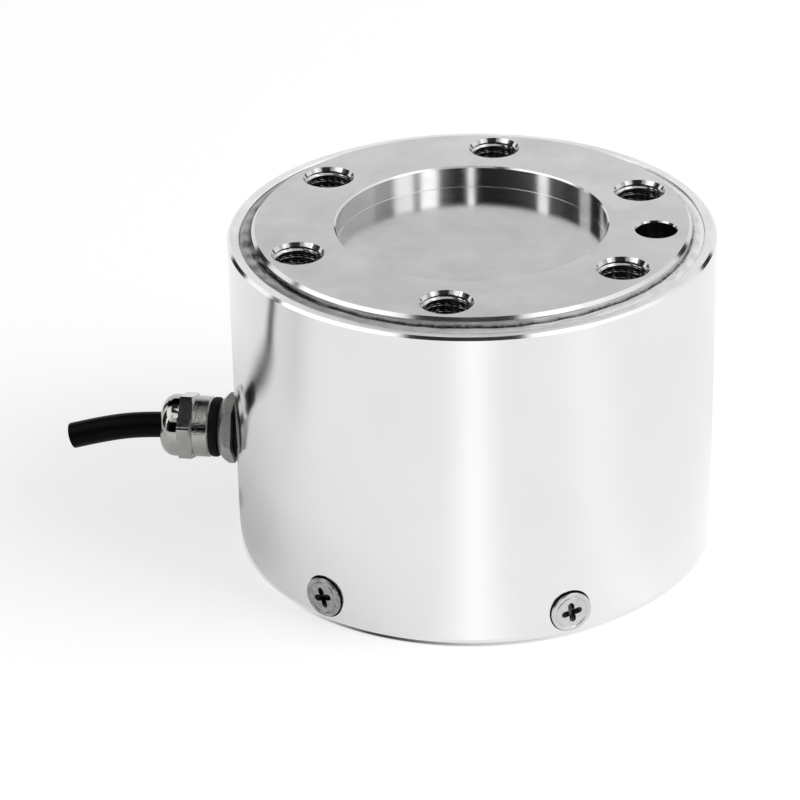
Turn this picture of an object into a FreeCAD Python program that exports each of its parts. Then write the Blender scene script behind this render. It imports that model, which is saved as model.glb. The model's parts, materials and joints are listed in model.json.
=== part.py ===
import FreeCAD, Part
import math
import os

# Three-axis force sensor: a one-piece gauged spring body in a round sleeve, with a cable gland.
# Millimetres. The base stands on z = 0, +Z is the main load axis, +X points at the dowel hole
# and the cable leaves along -X.

Vector = FreeCAD.Vector
UP = Vector(0, 0, 1)

# Overall
TOTAL_HEIGHT = 64.0
SLEEVE_DIA = 90.0
SLEEVE_WALL = 2.2
SLEEVE_EDGE = 0.5
FOOT_STEP = 0.4
PLATE_RISE = 1.6

# Spring body
SEAL_GAP = 2.3
PLATE_THICK = 13.0
PLATE_CHAMFER = 0.6
BASE_THICK = 11.0
BASE_CHAMFER = 0.4
BASE_FIT = 0.05
HUB_DIA = 64.0
HUB_STEP = 4.0
COLUMN_CIRCLE_DIA = 40.0
COLUMN_WIDTH = 9.0
COLUMN_FILLET = 3.0

# Mounting features, alike on the load plate and on the base
BOLT_CIRCLE_DIA = 68.0
BOLT_COUNT = 6
BOLT_DIA = 8.0
LOAD_MOUTH_DIA = 9.7
BASE_MOUTH_DIA = 8.9
LOAD_BOLT_DEPTH = 9.5
BASE_BOLT_DEPTH = 8.0
DOWEL_DIA = 7.5
DOWEL_DEPTH = 7.0
DOWEL_EDGE = 0.2
DRILL_TIP_ANGLE = 118.0
PILOT_DIA = 50.0
PILOT_DEPTH = 4.2
PILOT_EDGE = 0.3

# Raised countersunk screws that hold the sleeve on the base
SCREW_HEIGHT = 5.5
SCREW_DIA = 4.0
SCREW_LENGTH = 6.0
SCREW_SPREAD = 60.0
SCREW_HEAD_DIA = 7.7
SCREW_SINK = 0.35
SCREW_RAISE = 1.05
SCREW_EDGE = 0.2
SCREW_FIT = 0.05
TAP_RUNOUT = 0.3
TAP_MOUTH_DIA = 4.8
CROSS_LENGTH = 4.2
CROSS_WIDTH = 0.9
CROSS_DEPTH = 1.2

# Seals
SEAL_DEPTH = 3.0
SEAL_CROWN = 0.35
SEAL_SINK = 0.3
RING_WIDTH = 1.7
RING_CORNER = 0.35
RING_GROOVE_DEPTH = 1.1
RING_SIDE_FIT = 0.15
RING_GROOVE_LAND = 1.0

# Strain gauges and their leads
GAUGE_LENGTH = 7.0
GAUGE_WIDTH = 4.0
GAUGE_THICK = 0.2
LEAD_DIA = 0.8
LEAD_LAP = 2.0

# Terminal board between the columns
BOARD_LENGTH = 60.0
BOARD_SIDE_GAP = 0.5
BOARD_THICK = 1.6
STANDOFF_HEIGHT = 4.0
STANDOFF_FLATS = 4.5
STANDOFF_END = 4.0
STANDOFF_EDGE = 3.0
BOARD_SCREW_DIA = 2.5
BOARD_SCREW_LENGTH = 4.0
BOARD_SCREW_HEAD_DIA = 4.4
BOARD_SCREW_HEAD = 1.6
BOARD_SCREW_FIT = 0.05
POST_COUNT = 6
POST_PITCH = 1.3
POST_DIA = 0.9
POST_HEIGHT = 1.0
POST_END = 8.0
RESISTOR_COUNT = 6
RESISTOR_PITCH = 6.0
RESISTOR_LENGTH = 3.2
RESISTOR_WIDTH = 1.6
RESISTOR_HEIGHT = 0.6

# Cable gland, with its lengths counted outwards along its axis
GLAND_HEIGHT = 18.3
GLAND_THREAD_DIA = 8.0
GLAND_HOLE_FIT = 0.1
GLAND_FLATS = 12.0
GLAND_HEX_LENGTH = 3.4
GLAND_CORNER_CUT = 0.05
GLAND_HEX_END_DIA = 10.2
GLAND_HEX_TURN = 20.0
NUT_HEX_TURN = -10.0
GLAND_SHANK = 6.0
GLAND_NECK_DIA = 10.0
GLAND_NECK_LENGTH = 6.65
GLAND_NECK_GAP = 1.6
GLAND_FIT = 0.1
GLAND_BORE_FIT = 0.2
SPOT_FACE_MARGIN = 0.1
GASKET_THICK = 1.0
GASKET_DIA = 11.6
LOCK_NUT_THICK = 3.0
SEAL_WALL = 1.35
SEAL_LENGTH = 5.5
CLAW_LENGTH = 2.6
CLAW_WALL = 1.5
CLAW_TIP_WALL = 0.7
CLAW_SLOT = 0.8
CLAW_COUNT = 6
CLAW_FIT = 0.1
NUT_RING_DIA = 11.5
NUT_RING_CORNER = 0.5
NUT_SKIRT = 3.05
NUT_HEX = 2.8
NUT_BARREL = 1.2
NUT_DOME = 2.6
NUT_MOUTH_LIP = 0.5
NUT_SKIRT_STEP = 0.15
NUT_MOUTH_FIT = 0.4

# Cable: each point is (distance outside the sleeve wall, height over the gland axis)
CABLE_DIA = 5.0
CABLE_JACKET = 0.65
CABLE_FIT = 0.06
CABLE_ROUTE = [(-7.0, -0.06), (0.0, 0.0), (9.0, 0.0), (18.0, -0.14), (25.8, -1.31), (33.2, -3.57)]
CABLE_ARC_SHARE = 0.45
CORE_STRIP = 1.5
CORE_DIA = 0.55
CORE_PITCH = 0.6
CORE_END_GAP = 1.4

# Worked out from the driving dimensions
SLEEVE_R = SLEEVE_DIA / 2
SLEEVE_BORE_R = SLEEVE_R - SLEEVE_WALL
RIM_Z = TOTAL_HEIGHT - PLATE_RISE
PLATE_R = SLEEVE_BORE_R - SEAL_GAP
BASE_R = SLEEVE_BORE_R - BASE_FIT
PLATE_HUB_Z = TOTAL_HEIGHT - PLATE_THICK - HUB_STEP
BASE_HUB_Z = BASE_THICK + HUB_STEP
BOLT_STEP = 360.0 / BOLT_COUNT
BOLT_ANGLES = [BOLT_STEP * (k + 0.5) for k in range(BOLT_COUNT)]
SCREW_ANGLES = [side + turn * SCREW_SPREAD / 2 for side in (90.0, 270.0) for turn in (-1, 1)]
COLUMN_OFFSET = COLUMN_CIRCLE_DIA / 2 * math.sin(math.pi / 4)
COLUMN_SIGNS = [(1, 1), (-1, 1), (-1, -1), (1, -1)]
SCREW_FACE_R = SLEEVE_R - SCREW_SINK
SCREW_TOP_R = SCREW_FACE_R + SCREW_RAISE
BOARD_WIDTH = 2 * COLUMN_OFFSET - COLUMN_WIDTH - 2 * BOARD_SIDE_GAP
BOARD_Z = BASE_HUB_Z + STANDOFF_HEIGHT
BOARD_TOP_Z = BOARD_Z + BOARD_THICK
HEX_CORNER = GLAND_FLATS / math.sqrt(3)
CABLE_R = CABLE_DIA / 2


def outline(points):
    """Closed face in the XZ plane. A point is (r, z), and a third pair makes it the end of an arc
    through that pair."""
    edges = []
    last = Vector(points[-1][0], 0, points[-1][1])
    for point in points:
        here = Vector(point[0], 0, point[1])
        if len(point) > 2:
            through = Vector(point[2][0], 0, point[2][1])
            edges.append(Part.Arc(last, through, here).toShape())
        else:
            edges.append(Part.LineSegment(last, here).toShape())
        last = here
    return Part.Face(Part.Wire(edges))


def turned(points):
    """Solid of revolution about Z from an outline of (r, z) points."""
    return outline(points).revolve(Vector(0, 0, 0), UP, 360)


def box(low, high):
    """Box between two corners."""
    size = high.sub(low)
    return Part.makeBox(size.x, size.y, size.z, low)


def hexagon(flats, low, high):
    """Hexagonal prism about Z, with its corners on the X axis."""
    corner = flats / math.sqrt(3)
    angles = [math.radians(60 * k) for k in range(7)]
    points = [Vector(corner * math.cos(a), corner * math.sin(a), low) for a in angles]
    return Part.Face(Part.makePolygon(points)).extrude(UP * (high - low))


def at_angle(shape, degrees):
    """Copy of a shape turned about Z."""
    copy = shape.copy()
    copy.rotate(Vector(0, 0, 0), UP, degrees)
    return copy


def along_gland(shape):
    """Turns a shape from +Z to the gland's outward direction, -X, at the gland's height. What was
    on the X axis comes to the top and bottom."""
    copy = shape.copy()
    copy.rotate(Vector(0, 0, 0), Vector(0, 1, 0), -90)
    copy.translate(Vector(0, 0, GLAND_HEIGHT))
    return copy


def radial(shape, degrees, height):
    """Turns a shape from +Z to a direction that points outwards at an angle and a height."""
    copy = shape.copy()
    copy.rotate(Vector(0, 0, 0), Vector(0, 1, 0), 90)
    copy.translate(Vector(0, 0, height))
    return at_angle(copy, degrees)


def tube_path(points, arc_share):
    """Wire of straight runs joined by tangent arcs as large as the runs allow, its length and the
    arcs' radii."""
    edges = []
    radii = []
    start = points[0]
    for before, corner, after in zip(points, points[1:], points[2:]):
        run_in = corner.sub(before)
        run_out = after.sub(corner)
        way_in = Vector(run_in).normalize()
        way_out = Vector(run_out).normalize()
        cut = arc_share * min(run_in.Length, run_out.Length)
        half_turn = way_in.getAngle(way_out) / 2
        radius = cut / math.tan(half_turn)
        arc_start = corner.sub(way_in * cut)
        arc_end = corner.add(way_out * cut)
        inward = Vector(way_out.sub(way_in)).normalize()
        arc_mid = corner.add(inward * (radius / math.cos(half_turn) - radius))
        edges.append(Part.LineSegment(start, arc_start).toShape())
        edges.append(Part.Arc(arc_start, arc_mid, arc_end).toShape())
        radii.append(radius)
        start = arc_end
    edges.append(Part.LineSegment(start, points[-1]).toShape())
    wire = Part.Wire(edges)
    return wire, wire.Length, radii


def round_bar(points, diameter, arc_share=CABLE_ARC_SHARE):
    """Solid round bar along a path of straight runs and tangent arcs."""
    wire = tube_path(points, arc_share)[0]
    direction = points[1].sub(points[0])
    section = Part.Wire(Part.makeCircle(diameter / 2, points[0], direction))
    return wire.makePipeShell([section], True, False)


def blind_hole(radius, depth):
    """Drilled hole down from z = 0, with the drill's cone at its foot."""
    tip = radius / math.tan(math.radians(DRILL_TIP_ANGLE / 2))
    return turned([(0, 0), (radius, 0), (radius, -depth), (0, -depth - tip)])


def mouth_cone(mouth_radius, hole_radius):
    """Cone of a countersink at 90 degrees, from z = 0 down to the hole."""
    foot = hole_radius - mouth_radius
    return turned([(0, 0), (mouth_radius, 0), (hole_radius, foot), (0, foot)])


def mounting_cutters(bolt_depth, mouth_dia):
    """Bolt holes on their circle and the dowel hole, all down from z = 0."""
    bolt = blind_hole(BOLT_DIA / 2, bolt_depth).fuse(mouth_cone(mouth_dia / 2, BOLT_DIA / 2))
    bolt.translate(Vector(BOLT_CIRCLE_DIA / 2, 0, 0))
    cutters = [at_angle(bolt, angle) for angle in BOLT_ANGLES]
    dowel = blind_hole(DOWEL_DIA / 2, DOWEL_DEPTH)
    dowel = dowel.fuse(mouth_cone(DOWEL_DIA / 2 + DOWEL_EDGE, DOWEL_DIA / 2))
    dowel.translate(Vector(BOLT_CIRCLE_DIA / 2, 0, 0))
    cutters.append(dowel)
    return cutters


def column():
    """Square column on the Z axis between the two hubs, flared on all four sides by root fillets."""
    half = COLUMN_WIDTH / 2
    foot = half + COLUMN_FILLET
    low = BASE_HUB_Z
    high = PLATE_HUB_Z
    bow = COLUMN_FILLET * (1 - math.sin(math.pi / 4))
    profile = outline([
        (foot, low),
        (half, low + COLUMN_FILLET, (half + bow, low + bow)),
        (half, high - COLUMN_FILLET),
        (foot, high, (half + bow, high - bow)),
        (-foot, high),
        (-half, high - COLUMN_FILLET, (-half - bow, high - bow)),
        (-half, low + COLUMN_FILLET),
        (-foot, low, (-half - bow, low + bow)),
    ])
    profile.translate(Vector(0, -foot, 0))
    one_way = profile.extrude(Vector(0, 2 * foot, 0))
    return one_way.common(at_angle(one_way, 90))


def ring_groove():
    """Lower and upper edge of the groove for the base's sealing ring."""
    high = BASE_THICK - RING_GROOVE_LAND
    return high - RING_WIDTH - 2 * RING_SIDE_FIT, high


def spring_body():
    """One-piece body: load plate, four gauged columns and stepped base flange."""
    pilot_r = PILOT_DIA / 2
    hub_r = HUB_DIA / 2
    plate = turned([
        (0, PLATE_HUB_Z),
        (hub_r, PLATE_HUB_Z),
        (hub_r, TOTAL_HEIGHT - PLATE_THICK),
        (PLATE_R, TOTAL_HEIGHT - PLATE_THICK),
        (PLATE_R, TOTAL_HEIGHT - PLATE_CHAMFER),
        (PLATE_R - PLATE_CHAMFER, TOTAL_HEIGHT),
        (pilot_r + PILOT_EDGE, TOTAL_HEIGHT),
        (pilot_r, TOTAL_HEIGHT - PILOT_EDGE),
        (pilot_r, TOTAL_HEIGHT - PILOT_DEPTH),
        (0, TOTAL_HEIGHT - PILOT_DEPTH),
    ])
    groove_low, groove_high = ring_groove()
    groove_r = BASE_R - RING_GROOVE_DEPTH
    base = turned([
        (0, PILOT_DEPTH),
        (pilot_r, PILOT_DEPTH),
        (pilot_r, PILOT_EDGE),
        (pilot_r + PILOT_EDGE, 0),
        (BASE_R - BASE_CHAMFER, 0),
        (BASE_R, BASE_CHAMFER),
        (BASE_R, groove_low),
        (groove_r, groove_low),
        (groove_r, groove_high),
        (BASE_R, groove_high),
        (BASE_R, BASE_THICK - BASE_CHAMFER),
        (BASE_R - BASE_CHAMFER, BASE_THICK),
        (hub_r, BASE_THICK),
        (hub_r, BASE_HUB_Z),
        (0, BASE_HUB_Z),
    ])
    columns = []
    for sign_x, sign_y in COLUMN_SIGNS:
        post = column()
        post.translate(Vector(sign_x * COLUMN_OFFSET, sign_y * COLUMN_OFFSET, 0))
        columns.append(post)
    cutters = []
    for cutter in mounting_cutters(LOAD_BOLT_DEPTH, LOAD_MOUTH_DIA):
        cutter.translate(Vector(0, 0, TOTAL_HEIGHT))
        cutters.append(cutter)
    for cutter in mounting_cutters(BASE_BOLT_DEPTH, BASE_MOUTH_DIA):
        cutter.rotate(Vector(0, 0, 0), Vector(1, 0, 0), 180)
        cutters.append(cutter)
    tap_r = SCREW_DIA / 2
    tap_mouth_r = TAP_MOUTH_DIA / 2
    tap_foot = SCREW_FACE_R - SCREW_LENGTH - TAP_RUNOUT
    tap = turned([
        (0, tap_foot),
        (tap_r, tap_foot),
        (tap_r, BASE_R - (tap_mouth_r - tap_r)),
        (tap_mouth_r, BASE_R),
        (tap_mouth_r, SLEEVE_R),
        (0, SLEEVE_R),
    ])
    cutters += [radial(tap, angle, SCREW_HEIGHT) for angle in SCREW_ANGLES]
    return plate.fuse([base] + columns).cut(cutters).removeSplitter()


def screw_head_height():
    """Height of the 90 degree head above the shank."""
    return (SCREW_HEAD_DIA - SCREW_DIA) / 2


def housing_sleeve():
    """Turned sleeve with six countersunk holes and a spot face for the gland."""
    sleeve = turned([
        (SLEEVE_BORE_R, FOOT_STEP),
        (SLEEVE_R - SLEEVE_EDGE, FOOT_STEP),
        (SLEEVE_R, FOOT_STEP + SLEEVE_EDGE),
        (SLEEVE_R, RIM_Z - SLEEVE_EDGE),
        (SLEEVE_R - SLEEVE_EDGE, RIM_Z),
        (SLEEVE_BORE_R, RIM_Z),
    ])
    hole_r = SCREW_DIA / 2
    hole_foot = SLEEVE_BORE_R - SLEEVE_WALL
    head_foot = SCREW_FACE_R - screw_head_height()
    outside = SLEEVE_R + SLEEVE_WALL
    sink = turned([
        (0, hole_foot),
        (hole_r, hole_foot),
        (hole_r, head_foot),
        (hole_r + outside - head_foot, outside),
        (0, outside),
    ])
    cutters = [radial(sink, angle, SCREW_HEIGHT) for angle in SCREW_ANGLES]
    hole_r = GLAND_THREAD_DIA / 2 + GLAND_HOLE_FIT
    cutters.append(along_gland(Part.makeCylinder(hole_r, SLEEVE_DIA, Vector(0, 0, SLEEVE_R / 2))))
    face_r = HEX_CORNER + SPOT_FACE_MARGIN
    cutters.append(along_gland(Part.makeCylinder(face_r, SLEEVE_R, Vector(0, 0, spot_face()))))
    return sleeve.cut(cutters)


def spot_face():
    """Distance of the gland's flat seat from the sleeve's axis."""
    return math.sqrt(SLEEVE_R ** 2 - (HEX_CORNER + SPOT_FACE_MARGIN) ** 2)


def sleeve_screws():
    """Countersunk screws with a cross recess, two on each side of the gland's axis. Over its cone the head
    has a land with a rounded edge, which stands a little proud of the sleeve."""
    shank_r = SCREW_DIA / 2 - SCREW_FIT
    head = screw_head_height()
    head_r = SCREW_HEAD_DIA / 2
    bend = SCREW_EDGE * (1 - math.sin(math.pi / 4))
    screw = turned([
        (0, SCREW_FACE_R - SCREW_LENGTH),
        (shank_r, SCREW_FACE_R - SCREW_LENGTH),
        (shank_r, SCREW_FACE_R - head),
        (head_r, SCREW_FACE_R),
        (head_r, SCREW_TOP_R - SCREW_EDGE),
        (head_r - SCREW_EDGE, SCREW_TOP_R, (head_r - bend, SCREW_TOP_R - bend)),
        (0, SCREW_TOP_R),
    ])
    for length, width in ((CROSS_LENGTH, CROSS_WIDTH), (CROSS_WIDTH, CROSS_LENGTH)):
        low = Vector(-length / 2, -width / 2, SCREW_TOP_R - CROSS_DEPTH)
        screw = screw.cut(box(low, Vector(length / 2, width / 2, SCREW_TOP_R + SCREW_RAISE)))
    return Part.makeCompound([radial(screw, angle, SCREW_HEIGHT) for angle in SCREW_ANGLES])


def rim_seal():
    """Elastic bead that closes the gap between the load plate and the sleeve."""
    high = RIM_Z - SEAL_SINK
    low = high - SEAL_DEPTH
    middle = (PLATE_R + SLEEVE_BORE_R) / 2
    return turned([
        (PLATE_R, low),
        (SLEEVE_BORE_R, low),
        (SLEEVE_BORE_R, high),
        (PLATE_R, high, (middle, high + SEAL_CROWN)),
    ])


def base_sealing_ring():
    """Ring squeezed between the base's groove and the sleeve's bore."""
    groove_low, groove_high = ring_groove()
    middle = (groove_low + groove_high) / 2
    low = middle - RING_WIDTH / 2
    high = middle + RING_WIDTH / 2
    inner = BASE_R - RING_GROOVE_DEPTH
    return turned([
        (inner + RING_CORNER, low),
        (SLEEVE_BORE_R - RING_CORNER, low),
        (SLEEVE_BORE_R, low + RING_CORNER),
        (SLEEVE_BORE_R, high - RING_CORNER),
        (SLEEVE_BORE_R - RING_CORNER, high),
        (inner + RING_CORNER, high),
        (inner, high - RING_CORNER),
        (inner, low + RING_CORNER),
    ])


def strain_gauges():
    """Foil gauges bonded at mid height to the four faces of each column."""
    middle = (BASE_HUB_Z + PLATE_HUB_Z) / 2
    face = COLUMN_WIDTH / 2
    low = Vector(face, -GAUGE_WIDTH / 2, middle - GAUGE_LENGTH / 2)
    high = Vector(face + GAUGE_THICK, GAUGE_WIDTH / 2, middle + GAUGE_LENGTH / 2)
    gauge = box(low, high)
    gauges = []
    for sign_x, sign_y in COLUMN_SIGNS:
        for side in range(4):
            pad = at_angle(gauge, 90 * side)
            pad.translate(Vector(sign_x * COLUMN_OFFSET, sign_y * COLUMN_OFFSET, 0))
            gauges.append(pad)
    return Part.makeCompound(gauges)


def gauge_leads():
    """Sleeved leads, bonded on the inward gauges, that run down to the board."""
    gauge_foot = (BASE_HUB_Z + PLATE_HUB_Z) / 2 - GAUGE_LENGTH / 2
    height = gauge_foot + LEAD_LAP - BOARD_TOP_Z
    y = COLUMN_OFFSET - COLUMN_WIDTH / 2 - GAUGE_THICK - LEAD_DIA / 2
    leads = []
    for sign_x, sign_y in COLUMN_SIGNS:
        foot = Vector(sign_x * COLUMN_OFFSET, sign_y * y, BOARD_TOP_Z)
        leads.append(Part.makeCylinder(LEAD_DIA / 2, height, foot))
    return Part.makeCompound(leads)


def standoff_places():
    """Standoff centres near the board's four corners."""
    x = BOARD_LENGTH / 2 - STANDOFF_END
    y = BOARD_WIDTH / 2 - STANDOFF_EDGE
    return [(sign_x * x, sign_y * y) for sign_x, sign_y in COLUMN_SIGNS]


def post_places():
    """Terminal post centres in a row across the cable end of the board."""
    x = POST_END - BOARD_LENGTH / 2
    return [(x, POST_PITCH * (k - (POST_COUNT - 1) / 2)) for k in range(POST_COUNT)]


def terminal_board():
    """Board between the columns that joins the gauges to the cable, drilled for its screws."""
    low = Vector(-BOARD_LENGTH / 2, -BOARD_WIDTH / 2, BOARD_Z)
    high = Vector(BOARD_LENGTH / 2, BOARD_WIDTH / 2, BOARD_TOP_Z)
    holes = []
    for x, y in standoff_places():
        radius = BOARD_SCREW_DIA / 2 + BOARD_SCREW_FIT
        holes.append(Part.makeCylinder(radius, BOARD_THICK, Vector(x, y, BOARD_Z)))
    return box(low, high).cut(holes)


def board_standoffs():
    """Hexagonal standoffs, tapped for the board screws."""
    standoffs = []
    tap_r = BOARD_SCREW_DIA / 2 + BOARD_SCREW_FIT
    tap = Part.makeCylinder(tap_r, STANDOFF_HEIGHT, Vector(0, 0, BASE_HUB_Z))
    body = hexagon(STANDOFF_FLATS, BASE_HUB_Z, BOARD_Z).cut(tap)
    for x, y in standoff_places():
        standoff = body.copy()
        standoff.translate(Vector(x, y, 0))
        standoffs.append(standoff)
    return Part.makeCompound(standoffs)


def board_screws():
    """Pan head screws that clamp the board to its standoffs."""
    shank_r = BOARD_SCREW_DIA / 2
    head_r = BOARD_SCREW_HEAD_DIA / 2
    crown = BOARD_SCREW_HEAD / 2
    screw = turned([
        (0, BOARD_TOP_Z - BOARD_SCREW_LENGTH),
        (shank_r, BOARD_TOP_Z - BOARD_SCREW_LENGTH),
        (shank_r, BOARD_TOP_Z),
        (head_r, BOARD_TOP_Z),
        (head_r, BOARD_TOP_Z + crown),
        (head_r - crown, BOARD_TOP_Z + BOARD_SCREW_HEAD),
        (0, BOARD_TOP_Z + BOARD_SCREW_HEAD),
    ])
    screws = []
    for x, y in standoff_places():
        placed = screw.copy()
        placed.translate(Vector(x, y, 0))
        screws.append(placed)
    return Part.makeCompound(screws)


def terminal_posts():
    """Solder posts that stand on the board."""
    posts = []
    for x, y in post_places():
        posts.append(Part.makeCylinder(POST_DIA / 2, POST_HEIGHT, Vector(x, y, BOARD_TOP_Z)))
    return Part.makeCompound(posts)


def trim_resistors():
    """Chip resistors that balance the three bridges, in a row along the board."""
    resistors = []
    for k in range(RESISTOR_COUNT):
        x = RESISTOR_PITCH * (k - (RESISTOR_COUNT - 1) / 2)
        low = Vector(x - RESISTOR_LENGTH / 2, -RESISTOR_WIDTH / 2, BOARD_TOP_Z)
        high = Vector(x + RESISTOR_LENGTH / 2, RESISTOR_WIDTH / 2, BOARD_TOP_Z + RESISTOR_HEIGHT)
        resistors.append(box(low, high))
    return Part.makeCompound(resistors)


def hex_with_cut_corners(flats, low, high, turn, high_r):
    """Hexagonal prism turned about its axis. Its corners are turned off a little, with a 30 degree
    chamfer at the low end and a 45 degree cone down to the radius high_r at the high end."""
    flat_r = flats / 2
    corner_r = flats / math.sqrt(3) - GLAND_CORNER_CUT
    chamfer = (corner_r - flat_r) * math.tan(math.pi / 6)
    end = [(corner_r, high - corner_r + high_r), (high_r, high)] if high_r < corner_r else [(corner_r, high)]
    barrel = turned([(0, low), (flat_r, low), (corner_r, low + chamfer)] + end + [(0, high)])
    return at_angle(hexagon(flats, low, high), turn).common(barrel)


def gland_hex_start():
    """Distance of the gland body's hexagon from the sensor's axis."""
    return spot_face() + GASKET_THICK


def gland_neck_start():
    """Distance of the gland's outer thread from the sensor's axis."""
    return gland_hex_start() + GLAND_HEX_LENGTH


def gland_body():
    """Gland body: threaded shank through the wall, hexagon and outer thread, bored for the cable."""
    hex_start = gland_hex_start()
    neck_start = gland_neck_start()
    neck_end = neck_start + GLAND_NECK_LENGTH
    shank_r = GLAND_THREAD_DIA / 2
    shank = Part.makeCylinder(shank_r, GLAND_SHANK, Vector(0, 0, hex_start - GLAND_SHANK))
    neck = Part.makeCylinder(GLAND_NECK_DIA / 2, GLAND_NECK_LENGTH, Vector(0, 0, neck_start))
    grip = hex_with_cut_corners(GLAND_FLATS, hex_start, neck_start, GLAND_HEX_TURN, GLAND_HEX_END_DIA / 2)
    body = grip.fuse([shank, neck])
    bore = Part.makeCylinder(CABLE_R + GLAND_BORE_FIT, SLEEVE_DIA)
    seat = Part.makeCylinder(seal_outer_r(), SLEEVE_DIA, Vector(0, 0, neck_end - SEAL_LENGTH))
    return along_gland(body.cut([bore, seat]).removeSplitter())


def seal_outer_r():
    """Outer radius of the rubber seal in the gland body."""
    return CABLE_R + CABLE_FIT + SEAL_WALL


def gland_gasket():
    """Flat gasket between the gland's hexagon and the spot face."""
    seat = spot_face()
    hole_r = GLAND_THREAD_DIA / 2 + GLAND_FIT
    return along_gland(turned([
        (hole_r, seat),
        (GASKET_DIA / 2, seat),
        (GASKET_DIA / 2, seat + GASKET_THICK),
        (hole_r, seat + GASKET_THICK),
    ]))


def gland_lock_nut():
    """Lock nut inside the sleeve, with its corners against the bore."""
    high = math.sqrt(SLEEVE_BORE_R ** 2 - HEX_CORNER ** 2)
    low = high - LOCK_NUT_THICK
    hole = Part.makeCylinder(GLAND_THREAD_DIA / 2 + GLAND_FIT, LOCK_NUT_THICK, Vector(0, 0, low))
    return along_gland(at_angle(hexagon(GLAND_FLATS, low, high), 30).cut(hole))


def gland_seal():
    """Rubber seal that grips the cable inside the gland body, and the ring between hexagon and dome nut."""
    high = gland_neck_start() + GLAND_NECK_LENGTH
    inner = CABLE_R + CABLE_FIT
    grip = turned([
        (inner, high - SEAL_LENGTH),
        (seal_outer_r(), high - SEAL_LENGTH),
        (seal_outer_r(), high),
        (inner, high),
    ])
    ring_r = NUT_RING_DIA / 2
    ring_low = gland_neck_start()
    ring_high = ring_low + GLAND_NECK_GAP
    bend = NUT_RING_CORNER * (1 - math.sin(math.pi / 4))
    ring = turned([
        (GLAND_NECK_DIA / 2, ring_low),
        (ring_r - NUT_RING_CORNER, ring_low),
        (ring_r, ring_low + NUT_RING_CORNER, (ring_r - bend, ring_low + bend)),
        (ring_r, ring_high - NUT_RING_CORNER),
        (ring_r - NUT_RING_CORNER, ring_high, (ring_r - bend, ring_high - bend)),
        (GLAND_NECK_DIA / 2, ring_high),
    ])
    return Part.makeCompound([along_gland(grip), along_gland(ring)])


def claw_outer_r():
    """Outer radius of the clamping ring at its foot."""
    return CABLE_R + CABLE_FIT + CLAW_WALL


def claw_tip_r():
    """Outer radius of the clamping ring at its tip."""
    return CABLE_R + CABLE_FIT + CLAW_TIP_WALL


def gland_claw():
    """Slotted conical ring that the dome nut presses on to the cable."""
    low = gland_neck_start() + GLAND_NECK_LENGTH
    high = low + CLAW_LENGTH
    inner = CABLE_R + CABLE_FIT + CLAW_FIT
    ring = turned([
        (inner, low),
        (claw_outer_r(), low),
        (claw_tip_r(), high),
        (inner, high),
    ])
    slot_foot = low + CLAW_LENGTH / 3
    slot = box(Vector(0, -CLAW_SLOT / 2, slot_foot), Vector(SLEEVE_R, CLAW_SLOT / 2, high))
    slots = [at_angle(slot, 360.0 / CLAW_COUNT * k) for k in range(CLAW_COUNT)]
    return along_gland(ring.cut(slots))


def gland_dome_nut():
    """Dome nut: round skirt, hexagon, short barrel and a domed mouth round the cable."""
    low = gland_neck_start() + GLAND_NECK_GAP
    hex_low = low + NUT_SKIRT
    hex_high = hex_low + NUT_HEX
    dome_low = hex_high + NUT_BARREL
    top = dome_low + NUT_DOME
    barrel_r = GLAND_FLATS / 2
    skirt_r = barrel_r - NUT_SKIRT_STEP
    mouth_r = CABLE_R + NUT_MOUTH_FIT
    lip_r = mouth_r + NUT_MOUTH_LIP
    lean = math.sin(math.pi / 4)
    dome_mid = (lip_r + (barrel_r - lip_r) * lean, dome_low + NUT_DOME * lean)
    thread_r = GLAND_NECK_DIA / 2 + GLAND_FIT
    neck_end = gland_neck_start() + GLAND_NECK_LENGTH
    claw_end = neck_end + CLAW_LENGTH
    cone_low_r = claw_outer_r() + CLAW_FIT
    cone_high_r = claw_tip_r() + CLAW_FIT
    shell = turned([
        (thread_r, low),
        (skirt_r, low),
        (skirt_r, hex_low),
        (barrel_r, hex_low),
        (barrel_r, dome_low),
        (lip_r, top, dome_mid),
        (mouth_r, top),
        (mouth_r, claw_end + CLAW_FIT),
        (cone_high_r, claw_end + CLAW_FIT),
        (cone_low_r, neck_end + CLAW_FIT),
        (thread_r, neck_end + CLAW_FIT),
    ])
    core = Part.makeCylinder((barrel_r + thread_r) / 2, NUT_HEX, Vector(0, 0, hex_low))
    rim = hex_with_cut_corners(GLAND_FLATS, hex_low, hex_high, NUT_HEX_TURN, HEX_CORNER).cut(core)
    return along_gland(shell.fuse(rim).removeSplitter())


def cable_points():
    """Route of the cable's axis, from inside the housing to its cut end."""
    return [Vector(-SLEEVE_R - out, 0, GLAND_HEIGHT + rise) for out, rise in CABLE_ROUTE]


def cable_jacket():
    """Outer jacket of the cable, a tube along the route."""
    points = cable_points()
    return round_bar(points, CABLE_DIA).cut(round_bar(points, CABLE_DIA - 2 * CABLE_JACKET))


def cable_core_pack():
    """Shielded cores inside the jacket, bare for a short length inside the housing."""
    points = cable_points()
    way = points[0].sub(points[1]).normalize()
    diameter = CABLE_DIA - 2 * CABLE_JACKET
    strip = Part.makeCylinder(diameter / 2, CORE_STRIP, points[0], way)
    return round_bar(points, diameter).fuse(strip).removeSplitter()


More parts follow.
